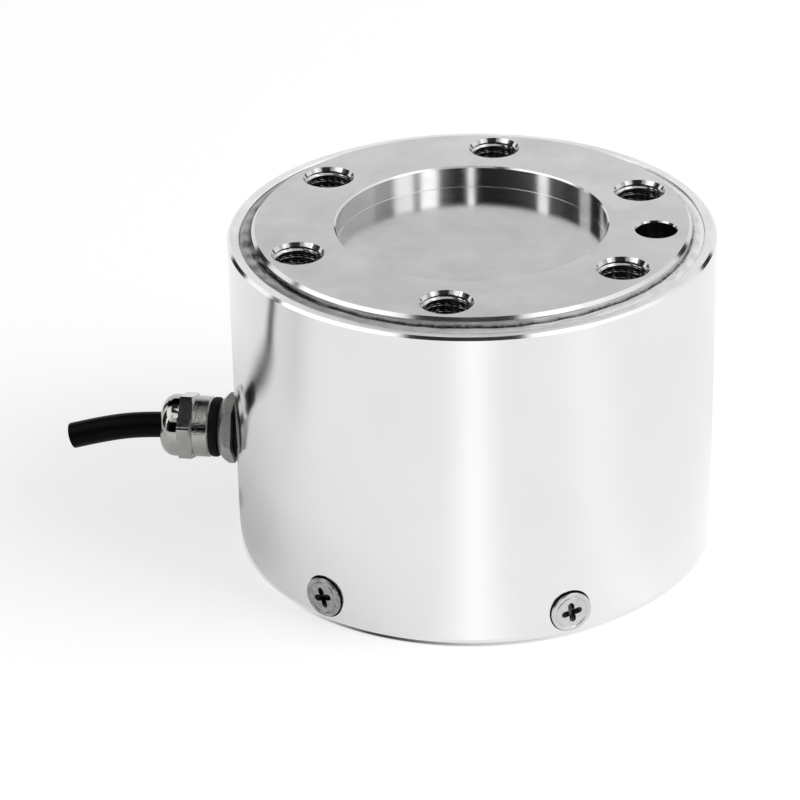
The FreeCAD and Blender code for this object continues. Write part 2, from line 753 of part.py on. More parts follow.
def core_wires():
    """Cores that fan out from the cable's end, rise over the board's edge and lie on the posts."""
    points = cable_points()
    way = points[0].sub(points[1]).normalize()
    root = points[0].add(way * (CORE_STRIP + CORE_DIA / 2))
    edge = -BOARD_LENGTH / 2 - CORE_END_GAP
    level = BOARD_TOP_Z + POST_HEIGHT + CORE_DIA / 2
    wires = []
    for k, (x, y) in enumerate(post_places()):
        side = CORE_PITCH * (k - (POST_COUNT - 1) / 2)
        wires.append(round_bar([
            root.add(Vector(0, side, 0)),
            Vector(edge, (side + y) / 2, level),
            Vector(x + POST_DIA / 2, y, level),
        ], CORE_DIA))
    return Part.makeCompound(wires)


def report_cable():
    """Prints the cable's radii and compares its volume with its section times its length."""
    points = cable_points()
    length, radii = tube_path(points, CABLE_ARC_SHARE)[1:]
    expected = math.pi * CABLE_R ** 2 * length
    volume = round_bar(points, CABLE_DIA).Volume
    print("cable length", round(length, 2), "radii", [round(radius, 1) for radius in radii])
    print("cable volume over section times length", round(volume / expected, 5))


NODES = {
    "spring_body": spring_body,
    "housing_sleeve": housing_sleeve,
    "sleeve_screws": sleeve_screws,
    "rim_seal": rim_seal,
    "base_sealing_ring": base_sealing_ring,
    "strain_gauges": strain_gauges,
    "gauge_leads": gauge_leads,
    "terminal_board": terminal_board,
    "board_standoffs": board_standoffs,
    "board_screws": board_screws,
    "terminal_posts": terminal_posts,
    "trim_resistors": trim_resistors,
    "core_wires": core_wires,
    "cable_jacket": cable_jacket,
    "cable_core_pack": cable_core_pack,
    "gland_body": gland_body,
    "gland_gasket": gland_gasket,
    "gland_lock_nut": gland_lock_nut,
    "gland_seal": gland_seal,
    "gland_claw": gland_claw,
    "gland_dome_nut": gland_dome_nut,
}

os.makedirs("parts", exist_ok=True)
for name, make in NODES.items():
    make().exportStep("parts/" + name + ".step")
report_cable()
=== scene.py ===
import json
import math

import bmesh
import bpy
import numpy as np
from mathutils import Matrix, Vector


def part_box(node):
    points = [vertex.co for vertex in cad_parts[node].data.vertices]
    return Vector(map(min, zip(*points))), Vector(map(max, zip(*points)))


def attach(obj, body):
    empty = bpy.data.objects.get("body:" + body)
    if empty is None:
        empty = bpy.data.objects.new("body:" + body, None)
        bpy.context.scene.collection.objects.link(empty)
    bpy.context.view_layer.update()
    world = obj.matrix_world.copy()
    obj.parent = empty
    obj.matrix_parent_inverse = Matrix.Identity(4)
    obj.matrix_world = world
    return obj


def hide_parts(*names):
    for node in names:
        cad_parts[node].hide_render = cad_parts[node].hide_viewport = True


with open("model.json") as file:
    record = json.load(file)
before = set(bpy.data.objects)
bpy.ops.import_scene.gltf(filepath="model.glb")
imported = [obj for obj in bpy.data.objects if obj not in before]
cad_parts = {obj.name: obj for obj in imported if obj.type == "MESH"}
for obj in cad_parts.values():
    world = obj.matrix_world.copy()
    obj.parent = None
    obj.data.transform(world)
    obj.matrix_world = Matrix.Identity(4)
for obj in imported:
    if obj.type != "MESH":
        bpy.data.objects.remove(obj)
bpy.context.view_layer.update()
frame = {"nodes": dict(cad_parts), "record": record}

# Three-axis force sensor: bright sleeve, load plate with tapped holes, sealed rim, cable gland and cable.
# Shapes are worked out in millimetres and laid into the meshes in metres.

MM = 0.001
MOUNT = {mount["name"]: mount for mount in frame["record"]["mounts"]}


def node_box(node):
    """Lowest and highest corner of a node, in millimetres."""
    return [np.array(corner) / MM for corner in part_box(node)]


# Sizes from the frame
BODY_HIGH = node_box("spring_body")[1]
SLEEVE_LOW, SLEEVE_HIGH = node_box("housing_sleeve")
TOP_Z = BODY_HIGH[2]
BASE_R = BODY_HIGH[0]
SLEEVE_R = SLEEVE_HIGH[0]
RIM_Z = SLEEVE_HIGH[2]
FOOT_Z = SLEEVE_LOW[2]
BOLT_CIRCLE_R = MOUNT["load_bolts"]["dims"]["pcd_mm"] / 2
BOLT_R = MOUNT["load_bolts"]["dims"]["hole_r_mm"]
BOLT_COUNT = MOUNT["load_bolts"]["dims"]["count"]
DOWEL_R = MOUNT["load_dowel"]["dims"]["r_mm"]
PILOT_R = MOUNT["load_pilot"]["dims"]["r_mm"]
BOLT_STEP = 360.0 / BOLT_COUNT

# Sleeve
SLEEVE_WALL = 2.2
SLEEVE_EDGE = 0.5
BORE_EDGE = 0.15
BORE_R = SLEEVE_R - SLEEVE_WALL

# Spring body
PLATE_R = BORE_R - 2.3
PLATE_THICK = 13.0
PLATE_CHAMFER = 0.6
BASE_THICK = 11.0
BASE_CHAMFER = 0.4
HUB_R = 32.0
HUB_STEP = 4.0
GROOVE_LOW, GROOVE_HIGH, GROOVE_R = 8.0, 10.0, BASE_R - 1.1
PILOT_DEPTH = 4.2
PILOT_EDGE = 0.3
PILOT_CORNER = 0.07
PILOT_BORDER = 0.04
COLUMN_OFFSET = 20.0 * math.sin(math.pi / 4)
COLUMN_HALF = 4.5
COLUMN_FILLET = 3.0

# Holes in the two mounting faces
LOAD_MOUTH_R, LOAD_BOLT_DEPTH = 4.85, 9.5
BASE_MOUTH_R, BASE_BOLT_DEPTH = 4.45, 8.0
MOUTH_SLOPE = 0.65
DOWEL_EDGE = 0.2
DOWEL_DEPTH = 7.0
THREAD_ROOT_R = BOLT_R + 0.4
THREAD_PITCH = 1.25
THREAD_STEPS = 20
THREAD_RUNOUT = 0.8
DRILL_TIP = 1 / math.tan(math.radians(59))
HOLE_BAND = (28.4, 39.6)
BOLT_PATCH = 10
DOWEL_PATCH = 8

# Sleeve screws
SCREW_Z = 5.5
SCREW_FACE_R = SLEEVE_R - 0.35
SCREW_ANGLES = (60, 120, 240, 300)
SCREW_RAISE = 1.05
SCREW_EDGE = 0.2
# Height on the head's side up to which painted shade reaches.
SCREW_PAINTED_SHADE_TOP = 0.61
SCREW_RING_R = 3.0
SCREW_HEAD_R = 3.85
SCREW_SHANK_R = 1.95
SCREW_LENGTH = 6.0
SCREW_LAND = (0.14, 0.1)
SCREW_CONE_FOOT = 0.06
SCREW_RING = (0.12, 0.08, 0.07)
FACE_BORDER = 0.04
CROSS_ARM = 1.95
CROSS_HALF = 0.6
CROSS_DEPTH = 1.2
CROSS_EDGE = 0.06
CROSS_STEPS = ((1.0, CROSS_EDGE), (0.8, 0.75 * CROSS_DEPTH), (0.6, CROSS_DEPTH), (0.0, CROSS_DEPTH + 0.15))
CROSS_TURNS = (31, -8, 20, 8)
# The screw at this angle has a face darkened with painted shade.
SCREW_WITH_PAINTED_SHADE = 240
SCREW_PATCH = 7
SCREW_BAND = (FOOT_Z + SLEEVE_EDGE, 10.1)

# Seal bead
BEAD_LOW, BEAD_HIGH = 59.1, 62.1
BEAD_CROWN = 0.35
BEAD_WAVE = 0.032
BEAD_WAVES = 22
BEAD_TURNS = (5, 60)
BEAD_LEAN = 2.5

# Cable gland: distances from the sensor's axis along -X
GLAND_Z = 18.3
SPOT_FACE_R = 7.03
SPOT_FACE = math.sqrt(SLEEVE_R ** 2 - SPOT_FACE_R ** 2)
GASKET_R = 5.8
GLAND_HOLE_R = 4.1
GLAND_SHANK_R = 4.0
GLAND_SHANK = 6.0
GLAND_BORE_R = 2.7
HEX_START = SPOT_FACE + 1.0
HEX_END = HEX_START + 3.4
HEX_FLAT = 6.0
HEX_TURNED_R = 6.88
HEX_END_R = 5.1
HEX_TURN = 20.0
HEX_BACK = 0.5
HEX_SLOPE = 1.73
HEX_CUT = 0.03
NUT_HEX_TURN = -10.0
NECK_R = 5.0
NECK_END = HEX_END + 6.65
NECK_PITCH = 1.0
NECK_GROOVE = 0.4
NUT_START = HEX_END + 1.6
NUT_HEX_START = NUT_START + 3.05
NUT_HEX_END = NUT_HEX_START + 2.8
NUT_DOME_START = NUT_HEX_END + 1.2
NUT_DOME = 2.6
NUT_END = NUT_DOME_START + NUT_DOME
NUT_SKIRT_R = 5.85
NUT_LIP_R = 3.4
NUT_MOUTH_R = 2.9
NUT_BORE_R = NECK_R + 0.1
NUT_EDGE = 0.3
NUT_STEP = 0.15
NUT_LIP = 0.12
NUT_SEAT = 2.7
GLAND_PATCH = 12
GLAND_BAND = (SCREW_BAND[1], 2 * GLAND_Z - SCREW_BAND[1])

# Cable: the route's points as (distance outside the sleeve, height over the gland's axis)
CABLE_R = 2.5
CABLE_CORE_R = 1.85
CORE_COUNT = 6
CORE_CIRCLE_R = 1.18
CORE_R = 0.5
COPPER_R = 0.22
CORE_TURN = 15
CORE_RISES = (0.02, 0.05, 0.09)
CABLE_ROUTE = ((-7.0, -0.06), (0.0, 0.0), (9.0, 0.0), (18.0, -0.14), (25.8, -1.31), (33.2, -3.57))

DEGREES = np.arange(361)
rng = np.random.default_rng(7)


# Skins


def placed(name, data):
    """New object of the scene."""
    made = bpy.data.objects.new(name, data)
    bpy.context.scene.collection.objects.link(made)
    return made


def grid_quads(rows, columns):
    """Quads of a grid whose points are counted row by row. They face columns x rows."""
    index = np.arange(rows * columns).reshape(rows, columns)
    return np.stack([index[:-1, :-1], index[:-1, 1:], index[1:, 1:], index[1:, :-1]], axis=-1).reshape(-1, 4)


class Skin:
    """Grids of points gathered into one closed skin. Grids that share an edge are welded there."""

    def __init__(self):
        self.points = []
        self.quads = []
        self.finish = []
        self.total = 0

    def grid(self, points, finish=0, flip=False):
        """Joins rows and columns of points [rows, columns, 3] by quads that face columns x rows."""
        quads = self.total + grid_quads(*points.shape[:2])
        self.points.append(points.reshape(-1, 3))
        self.quads.append(quads[:, ::-1] if flip else quads)
        self.finish.append(np.full(len(quads), finish))
        self.total += len(self.points[-1])

    def piece(self, name, finishes, slot, replaced=(), sharp=30):
        """Puts the skin into a mesh that rides on the body, smooth where faces meet under the sharp angle."""
        mesh = bpy.data.meshes.new(name)
        mesh.from_pydata(np.concatenate(self.points) * MM, [], np.concatenate(self.quads))
        for finish in finishes:
            mesh.materials.append(finish)
        mesh.polygons.foreach_set("material_index", np.concatenate(self.finish).astype(np.int32))
        bm = bmesh.new()
        bm.from_mesh(mesh)
        bmesh.ops.remove_doubles(bm, verts=bm.verts, dist=2e-6)
        bmesh.ops.dissolve_degenerate(bm, edges=bm.edges, dist=1e-7)
        bm.to_mesh(mesh)
        bm.free()
        mesh.shade_smooth()
        mesh.set_sharp_from_angle(angle=math.radians(sharp))
        made = placed(name, mesh)
        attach(made, "root")
        if replaced:
            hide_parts(*replaced)
        return made


def spun(radius, height, angles):
    """Surface of revolution about Z: (r, z) at angle a is (r cos a, r sin a, z). Rows follow the profile, and
    radius and height may also change along the columns."""
    radius, height, angles = np.broadcast_arrays(radius, height, angles)
    return np.stack([radius * np.cos(angles), radius * np.sin(angles), height], axis=-1)


def turned(profile, degrees=DEGREES):
    """Surface of revolution of a list of (r, z) points."""
    profile = np.array(profile, float)
    return spun(profile[:, :1], profile[:, 1:], np.radians(degrees)[None, :])


def round_the(us, vs):
    """Points (u, v) round the rectangle of the lines us and vs, anticlockwise, with the first one repeated."""
    low = np.stack([us[:-1], np.full(len(us) - 1, vs[0])], axis=-1)
    right = np.stack([np.full(len(vs) - 1, us[-1]), vs[:-1]], axis=-1)
    high = np.stack([us[:0:-1], np.full(len(us) - 1, vs[-1])], axis=-1)
    left = np.stack([np.full(len(vs), us[0]), vs[::-1]], axis=-1)
    return np.concatenate([low, right, high, left])


def between(outer, inner, rows):
    """Rows that blend in equal steps from an outer loop of points to an inner one."""
    share = np.linspace(0, 1, rows)[:, None, None]
    return outer * (1 - share) + inner * share


def thread(turn, along, crest, root, pitch):
    """Radius of a thread: a flattened wave between crest and root, one pitch for each turn, with flanks 30 degrees
    from square to the axis."""
    wave = np.abs((along / pitch + turn) % 1.0 * 2 - 1) - 0.5
    steep = pitch / 2 / (abs(root - crest) * math.tan(math.pi / 6))
    return crest + (root - crest) * np.clip(0.5 + steep * wave, 0, 1)


# Load plate, base flange and columns


def tapped_hole(angles, mouth_r, depth):
    """Tapped blind hole below z = 0: at each depth the wider of the countersink's cone and the thread's wave, then
    the drill's cone. Gives its rows, and the last row of the countersink."""
    down = np.append(np.arange(0, depth, THREAD_PITCH / THREAD_STEPS), depth)[:, None]
    wall = thread(angles / (2 * math.pi), down, BOLT_R, THREAD_ROOT_R, THREAD_PITCH)
    wall = np.where(down > depth - THREAD_RUNOUT, BOLT_R, wall)
    wall = np.maximum(wall, mouth_r - MOUTH_SLOPE * down)
    tip = spun(0.0, -depth - BOLT_R * DRILL_TIP, angles[None, :])
    sink = round((mouth_r - BOLT_R) / MOUTH_SLOPE / THREAD_PITCH * THREAD_STEPS)
    return np.concatenate([spun(wall, -down, angles), tip]), sink


def plain_hole(angles, mouth_r, radius, depth):
    """Drilled and reamed blind hole below z = 0, with a broken edge and the drill's cone. Gives its rows, and the last
    row of the edge."""
    edge = (mouth_r - radius) / MOUTH_SLOPE
    rows = np.array([(mouth_r, 0), (radius, -edge), (radius, -depth), (0, -depth - radius * DRILL_TIP)])
    return spun(rows[:, :1], rows[:, 1:], angles), 1


def mounting_face(skin, place, outer_r, mouth_r, bolt_depth):
    """Flat ring at z = 0 between the pilot's edge and outer_r, with six tapped holes, the dowel hole and the pilot
    recess. Round each hole a patch blends from a square of the polar grid to the hole's mouth."""
    lines = np.linspace(*HOLE_BAND, 15)
    holes = [(0.0, DOWEL_PATCH, None)]
    holes += [(BOLT_STEP * (k + 0.5), BOLT_PATCH, mouth_r) for k in range(BOLT_COUNT)]
    for (at, half, mouth), (after, half_after, _) in zip(holes, holes[1:] + [(360.0, DOWEL_PATCH, None)]):
        span = np.radians(np.arange(at + half, after - half_after + 0.5))
        skin.grid(place(spun(lines[::-1, None], 0.0, span[None, :])))
        loop = round_the(lines, np.radians(np.arange(at - half, at + half + 0.5)))
        outer = spun(loop[:, 0], 0.0, loop[:, 1])
        centre = BOLT_CIRCLE_R * np.array([math.cos(math.radians(at)), math.sin(math.radians(at)), 0.0])
        angles = np.unwrap(np.arctan2(outer[:, 1] - centre[1], outer[:, 0] - centre[0]))
        if mouth is None:
            hole, edge = plain_hole(angles, DOWEL_R + DOWEL_EDGE, DOWEL_R, DOWEL_DEPTH)
        else:
            hole, edge = tapped_hole(angles, mouth, bolt_depth)
        skin.grid(place(between(outer, hole[0] + centre, 6)))
        skin.grid(place(hole[:edge + 1] + centre), finish=2)
        # Hole walls below the edge: steel darkened with painted shade inside the holes.
        skin.grid(place(hole[edge:] + centre), finish=1)
    skin.grid(place(turned([(outer_r, 0), (HOLE_BAND[1], 0)])))
    skin.grid(place(turned([(HOLE_BAND[0], 0), (PILOT_R + PILOT_EDGE, 0)])))
    recess = pilot_recess()
    skin.grid(place(turned(recess)), finish=2)
    skin.grid(place(turned([recess[-1], (0, -PILOT_DEPTH)])), finish=3)


def pilot_recess():
    """Profile of the turned recess below z = 0, from its broken edge over a small corner radius to the middle."""
    bend = np.radians(np.arange(0, 91, 15))
    corner_r = PILOT_R - PILOT_CORNER * (1 - np.cos(bend))
    corner_z = -PILOT_DEPTH + PILOT_CORNER * (1 - np.sin(bend))
    wall = [(PILOT_R + PILOT_EDGE, 0), (PILOT_R, -PILOT_EDGE), (PILOT_R, corner_z[0] + PILOT_BORDER)]
    return wall + list(zip(corner_r, corner_z)) + [(corner_r[-1] - PILOT_BORDER, -PILOT_DEPTH)]


def load_plate(finishes):
    """Load plate with its chamfered edge, mounting holes, pilot recess and hub."""
    skin = Skin()

    def place(points):
        return points + np.array([0, 0, TOP_Z])

    mounting_face(skin, place, PLATE_R - PLATE_CHAMFER, LOAD_MOUTH_R, LOAD_BOLT_DEPTH)
    skin.grid(turned([
        (0, TOP_Z - PLATE_THICK - HUB_STEP),
        (HUB_R, TOP_Z - PLATE_THICK - HUB_STEP),
        (HUB_R, TOP_Z - PLATE_THICK),
        (PLATE_R, TOP_Z - PLATE_THICK),
        (PLATE_R, TOP_Z - PLATE_CHAMFER),
        (PLATE_R - PLATE_CHAMFER, TOP_Z),
    ]), finish=2)
    return skin.piece("load_plate", finishes, "body_steel", ["spring_body"])


def base_flange(finishes):
    """Base flange with its ring groove, mounting holes, pilot recess and hub. Its face is the load plate's pattern
    turned half round the X axis."""
    skin = Skin()

    def place(points):
        return points * np.array([1, -1, -1])

    mounting_face(skin, place, BASE_R - BASE_CHAMFER, BASE_MOUTH_R, BASE_BOLT_DEPTH)
    skin.grid(turned([
        (BASE_R - BASE_CHAMFER, 0),
        (BASE_R, BASE_CHAMFER),
        (BASE_R, GROOVE_LOW),
        (GROOVE_R, GROOVE_LOW),
        (GROOVE_R, GROOVE_HIGH),
        (BASE_R, GROOVE_HIGH),
        (BASE_R, BASE_THICK - BASE_CHAMFER),
        (BASE_R - BASE_CHAMFER, BASE_THICK),
        (HUB_R, BASE_THICK),
        (HUB_R, BASE_THICK + HUB_STEP),
        (0, BASE_THICK + HUB_STEP),
    ]), finish=2)
    return skin.piece("base_flange", finishes, "body_steel", ["spring_body"])


def spring_columns(finishes):
    """Four square columns whose half width grows along a quarter circle at both roots."""
    low = BASE_THICK + HUB_STEP
    high = TOP_Z - PLATE_THICK - HUB_STEP
    rise = COLUMN_FILLET * (1 - np.cos(np.radians(np.arange(0, 91, 10))))
    heights = np.concatenate([[low], low + rise, high - rise[::-1], [high]])
    near = np.minimum(heights - low, high - heights).clip(0, COLUMN_FILLET)
    half = COLUMN_HALF + COLUMN_FILLET - np.sqrt(COLUMN_FILLET ** 2 - (COLUMN_FILLET - near) ** 2)
    half[[0, -1]] = 0
    side = np.array([(1, -1), (1, 1), (-1, 1), (-1, -1), (1, -1)])
    skin = Skin()
    for x, y in ((1, 1), (-1, 1), (-1, -1), (1, -1)):
        ring = half[:, None, None] * side + COLUMN_OFFSET * np.array([x, y])
        skin.grid(np.concatenate([ring, np.broadcast_to(heights[:, None, None], ring.shape[:2] + (1,))], axis=-1))
    return skin.piece("spring_columns", finishes, "body_steel", ["spring_body"])


# Sleeve, screws and seal bead


def on_wall(points, radius):
    """Points (angle, z) laid on a cylinder about Z."""
    return spun(radius, points[..., 1], points[..., 0])


def countersink_r(angles, wall_r):
    """Radius at which the screw's cone meets a cylinder about Z: r = head radius + depth below the head's face,
    solved in a few steps because the depth depends on r."""
    radius = np.full(angles.shape, SCREW_HEAD_R)
    for _ in range(6):
        radius = SCREW_HEAD_R + np.sqrt(wall_r ** 2 - (radius * np.cos(angles)) ** 2) - SCREW_FACE_R
    return radius


def wall_hole(at, half, band, lines, edge, wall_r):
    """Patch of a wall from a rectangle of its grid to the edge of a hole about a radial axis. Gives the patch and the
    hole's loop as points, and the loop's angles."""
    loop = round_the(np.radians(np.arange(at - half, at + half + 0.5)), lines)
    middle = np.array([math.radians(at), (band[0] + band[1]) / 2])
    angles = np.unwrap(np.arctan2(loop[:, 1] - middle[1], (loop[:, 0] - middle[0]) * SLEEVE_R))
    radius = edge(angles, wall_r)
    inner = np.stack([middle[0] + np.arcsin(radius * np.cos(angles) / wall_r), middle[1] + radius * np.sin(angles)], -1)
    patch = on_wall(between(loop, inner, 6), wall_r)
    return patch, patch[-1], angles


def bright_sleeve(finishes):
    """Sleeve: an outer and an inner wall with patches round the screw and gland holes, the holes' own walls, and the
    chamfered edges at foot and rim."""
    skin = Skin()
    low_lines = np.linspace(*SCREW_BAND, 11)
    mid_lines = np.linspace(*GLAND_BAND, 15)
    top_lines = np.linspace(GLAND_BAND[1], RIM_Z - SLEEVE_EDGE, 9)

    def spot_edge(angles, wall_r):
        return np.full(angles.shape, SPOT_FACE_R if wall_r == SLEEVE_R else GLAND_HOLE_R)

    loops = {}
    for wall_r, flip in ((SLEEVE_R, False), (BORE_R, True)):

        def block(first, last, lines):
            span = np.radians(np.arange(first, last + 0.5))
            skin.grid(spun(wall_r, lines[:, None], span[None, :]), flip=flip)

        for at, after in zip(SCREW_ANGLES, SCREW_ANGLES[1:] + (SCREW_ANGLES[0] + 360,)):
            patch, loops[at, wall_r], _ = wall_hole(at, SCREW_PATCH, SCREW_BAND, low_lines, countersink_r, wall_r)
            skin.grid(patch, flip=flip)
            block(at + SCREW_PATCH, after - SCREW_PATCH, low_lines)
        patch, loops["gland", wall_r], angles = wall_hole(180, GLAND_PATCH, GLAND_BAND, mid_lines, spot_edge, wall_r)
        skin.grid(patch, flip=flip)
        block(180 + GLAND_PATCH, 540 - GLAND_PATCH, mid_lines)
        block(0, 360, top_lines)
    # The sleeve's screw holes' walls: black painted shadow in the gap round each head.
    for at in SCREW_ANGLES:
        skin.grid(np.stack([loops[at, SLEEVE_R], loops[at, BORE_R]]), finish=2)
    seat = [gland_points(radius, SPOT_FACE, math.pi - angles) for radius in (SPOT_FACE_R, GLAND_HOLE_R)]
    skin.grid(np.stack([loops["gland", SLEEVE_R], *seat, loops["gland", BORE_R]]))
    skin.grid(turned([(SLEEVE_R, RIM_Z - SLEEVE_EDGE), (SLEEVE_R - SLEEVE_EDGE, RIM_Z)]))
    skin.grid(turned([
        (SLEEVE_R - SLEEVE_EDGE, RIM_Z),
        (BORE_R + BORE_EDGE, RIM_Z),
        (BORE_R, RIM_Z - BORE_EDGE),
        (BORE_R, RIM_Z - SLEEVE_EDGE),
    ]), finish=1)
    skin.grid(turned([
        (BORE_R, SCREW_BAND[0]),
        (BORE_R, FOOT_Z),
        (SLEEVE_R - SLEEVE_EDGE, FOOT_Z),
        (SLEEVE_R, SCREW_BAND[0]),
    ]), finish=1)
    return skin.piece("bright_sleeve", finishes, "sleeve_steel", ["housing_sleeve"])


def cross_screws(finishes):
    """Raised countersunk screws: shank, cone and land, then the head with its rounded edge and a fine ring. Shank,
    cone, land, the head's side up to a height and the cross recess carry painted shade. Seen along a screw's axis the
    recess is a cross: at angle a its edge lies at the nearer of the arm's round end, arm * cos a to the third, and the
    arm's side, half width / sin a."""
    fold = np.concatenate([np.linspace(0, 0.25, 7)[:-1], np.linspace(0.25, math.pi / 4, 9)])
    quarter = np.concatenate([-fold[:0:-1], fold])[:-1]
    angles = (np.arange(4)[:, None] * math.pi / 2 + quarter).ravel()
    angles = np.append(angles, angles[0] + 2 * math.pi)
    folded = np.abs((angles + math.pi / 4) % (math.pi / 2) - math.pi / 4).clip(1e-6)
    cross = np.minimum(CROSS_ARM * np.cos(folded) ** 3, CROSS_HALF / np.sin(folded))
    cone = SCREW_HEAD_R - SCREW_SHANK_R
    side = [(0, -SCREW_LENGTH), (SCREW_SHANK_R, -SCREW_LENGTH), (SCREW_SHANK_R, -cone - SCREW_CONE_FOOT),
            (SCREW_HEAD_R - SCREW_LAND[0], -SCREW_LAND[1]), (SCREW_HEAD_R, 0), (SCREW_HEAD_R, SCREW_PAINTED_SHADE_TOP)]
    bend = np.radians(np.arange(0, 91, 15))
    face = list(zip(SCREW_HEAD_R - SCREW_EDGE * (1 - np.cos(bend)), SCREW_RAISE - SCREW_EDGE * (1 - np.sin(bend))))
    outside, inside, deep = SCREW_RING
    face += [(SCREW_HEAD_R - SCREW_EDGE - FACE_BORDER, SCREW_RAISE)]
    face += [(SCREW_RING_R + outside, SCREW_RAISE), (SCREW_RING_R, SCREW_RAISE - deep)]
    face += [(SCREW_RING_R - inside, SCREW_RAISE)]
    radius = [np.full(angles.shape, r) for r, _ in side + face]
    height = [z for _, z in side + face]
    for share in np.linspace(0.2, 1, 5):
        radius.append(face[-1][0] * (1 - share) + (cross + CROSS_EDGE) * share)
        height.append(SCREW_RAISE)
    for share, down in CROSS_STEPS:
        radius.append(cross * share)
        height.append(SCREW_RAISE - down)
    skin = Skin()
    for at, turn in zip(SCREW_ANGLES, CROSS_TURNS):
        local = spun(np.array(radius), np.array(height)[:, None], angles + math.radians(turn))
        around = math.radians(at)
        out = np.array([math.cos(around), math.sin(around), 0])
        aside = np.array([-math.sin(around), math.cos(around), 0])
        axes = np.stack([aside, np.array([0, 0, 1]), out])
        local = local @ axes + out * SCREW_FACE_R + np.array([0, 0, SCREW_Z])
        # One screw's face is darker with painted shade, and its gap and cross recess take black painted shadow. The
        # others take dark grey painted shade there.
        face_finish, shade_painted_finish = (2, 3) if at == SCREW_WITH_PAINTED_SHADE else (0, 1)
        skin.grid(local[:len(side)], finish=shade_painted_finish)
        skin.grid(local[len(side) - 1:-len(CROSS_STEPS)], finish=face_finish)
        skin.grid(local[-len(CROSS_STEPS) - 1:], finish=shade_painted_finish)
    return skin.piece("cross_screws", finishes, "screw_steel", ["sleeve_screws"])


def seal_bead(finishes):
    """Bead between plate and sleeve: a parabola across its width, raised and sunk along the rim by a sum of sine
    waves that fades out at both edges."""
    across = np.linspace(0, 1, 13)[:, None]
    around = np.radians(np.linspace(0, 360, 1081))[None, :]
    waves = rng.integers(*BEAD_TURNS, BEAD_WAVES)
    lean = rng.uniform(-BEAD_LEAN, BEAD_LEAN, BEAD_WAVES)
    phase = rng.uniform(0, 2 * math.pi, BEAD_WAVES)
    size = BEAD_WAVE * 1.6 / np.sqrt(waves)
    swell = sum(s * np.sin(w * around + l * across + p) for w, l, p, s in zip(waves, lean, phase, size))
    hump = 4 * across * (1 - across)
    height = BEAD_HIGH + BEAD_CROWN * hump + swell * np.sqrt(hump) * 2.2
    skin = Skin()
    skin.grid(spun(BORE_R + (PLATE_R - BORE_R) * across, height, around))
    corners = ((PLATE_R, BEAD_HIGH), (PLATE_R, BEAD_LOW), (BORE_R, BEAD_LOW), (BORE_R, BEAD_HIGH))
    skin.grid(np.concatenate([spun(radius, level, around) for radius, level in corners]))
    return skin.piece("seal_bead", finishes, "seal_bead", ["rim_seal"], sharp=60)


# Cable gland and cable


def gland_points(radius, along, angles):
    """Point at a radius and an angle round the gland's axis, at a distance along -X from the sensor's axis."""
    radius, along, angles = np.broadcast_arrays(radius, along, angles)
    return np.stack([-along, radius * np.cos(angles), GLAND_Z - radius * np.sin(angles)], axis=-1)


GLAND_ANGLES = np.radians(np.arange(0, 360.1, 2.5))[None, :]


def hexagon_r(angles, turn):
    """Radius of a hexagon with a flat at the angle turn: flat / cos of the angle from the nearest flat."""
    aside = (angles - math.radians(turn) + math.pi / 6) % (math.pi / 3) - math.pi / 6
    return np.minimum(HEX_FLAT / np.cos(aside), HEX_TURNED_R)


def hexagon_rows(start, end, turn, end_r):
    """Rows of a hexagon cut at its start by a 30 degree cone from the flats' own circle, and at its end by a 45 degree
    cone that narrows to end_r."""
    step = np.array([0.0, 0.08, 0.16, 0.24, 0.32, 0.4, 0.48, 0.54, 0.6, 0.7])
    last = end - np.linspace(0, max(HEX_TURNED_R - end_r, 0.1), 13)
    along = np.unique(np.concatenate([start + step, last]))[:, None]
    cone = np.minimum(HEX_FLAT - HEX_CUT + HEX_SLOPE * (along - start), end_r + end - along)
    return np.minimum(hexagon_r(GLAND_ANGLES, turn), cone), along


def gland_skin(rows):
    """Skin of a closed ring of rows, each a radius or an array of radii and a distance along the axis."""
    radius = np.concatenate([np.broadcast_to(np.atleast_2d(r), (np.atleast_2d(r).shape[0], GLAND_ANGLES.size))
                             for r, _ in rows])
    along = np.concatenate([np.broadcast_to(np.atleast_2d(s), (np.atleast_2d(s).shape[0], 1)) for _, s in rows])
    skin = Skin()
    skin.grid(gland_points(radius, along, GLAND_ANGLES))
    return skin


def gland_hexagon(finishes):
    """Gland body: shank, chamfered hexagon and outer thread, bored for the cable. The chamfer at the wall has a finish
    of its own, near black with painted shade."""
    hex_r, hex_s = hexagon_rows(HEX_START, HEX_END, HEX_TURN, HEX_END_R)
    neck_s = np.arange(HEX_END, NECK_END, NECK_PITCH / 10)[:, None]
    neck_r = thread(GLAND_ANGLES / (2 * math.pi), neck_s, NECK_R - NECK_GROOVE, NECK_R, NECK_PITCH)
    back = int(np.sum(hex_s < HEX_START + HEX_BACK))
    skin = gland_skin([
        (hex_r[back - 1:], hex_s[back - 1:]),
        (neck_r, neck_s),
        (NECK_R - NECK_GROOVE, NECK_END),
        (GLAND_BORE_R, NECK_END),
        (GLAND_BORE_R, HEX_START - GLAND_SHANK),
        (GLAND_SHANK_R, HEX_START - GLAND_SHANK),
        (GLAND_SHANK_R, HEX_START),
        (hex_r[0], HEX_START),
    ])
    # The hexagon's chamfer at the wall: near-black painted shade.
    skin.grid(gland_points(hex_r[:back], hex_s[:back], GLAND_ANGLES), finish=1)
    return skin.piece("gland_hexagon", finishes, "nickel_plate", ["gland_body"], sharp=18)


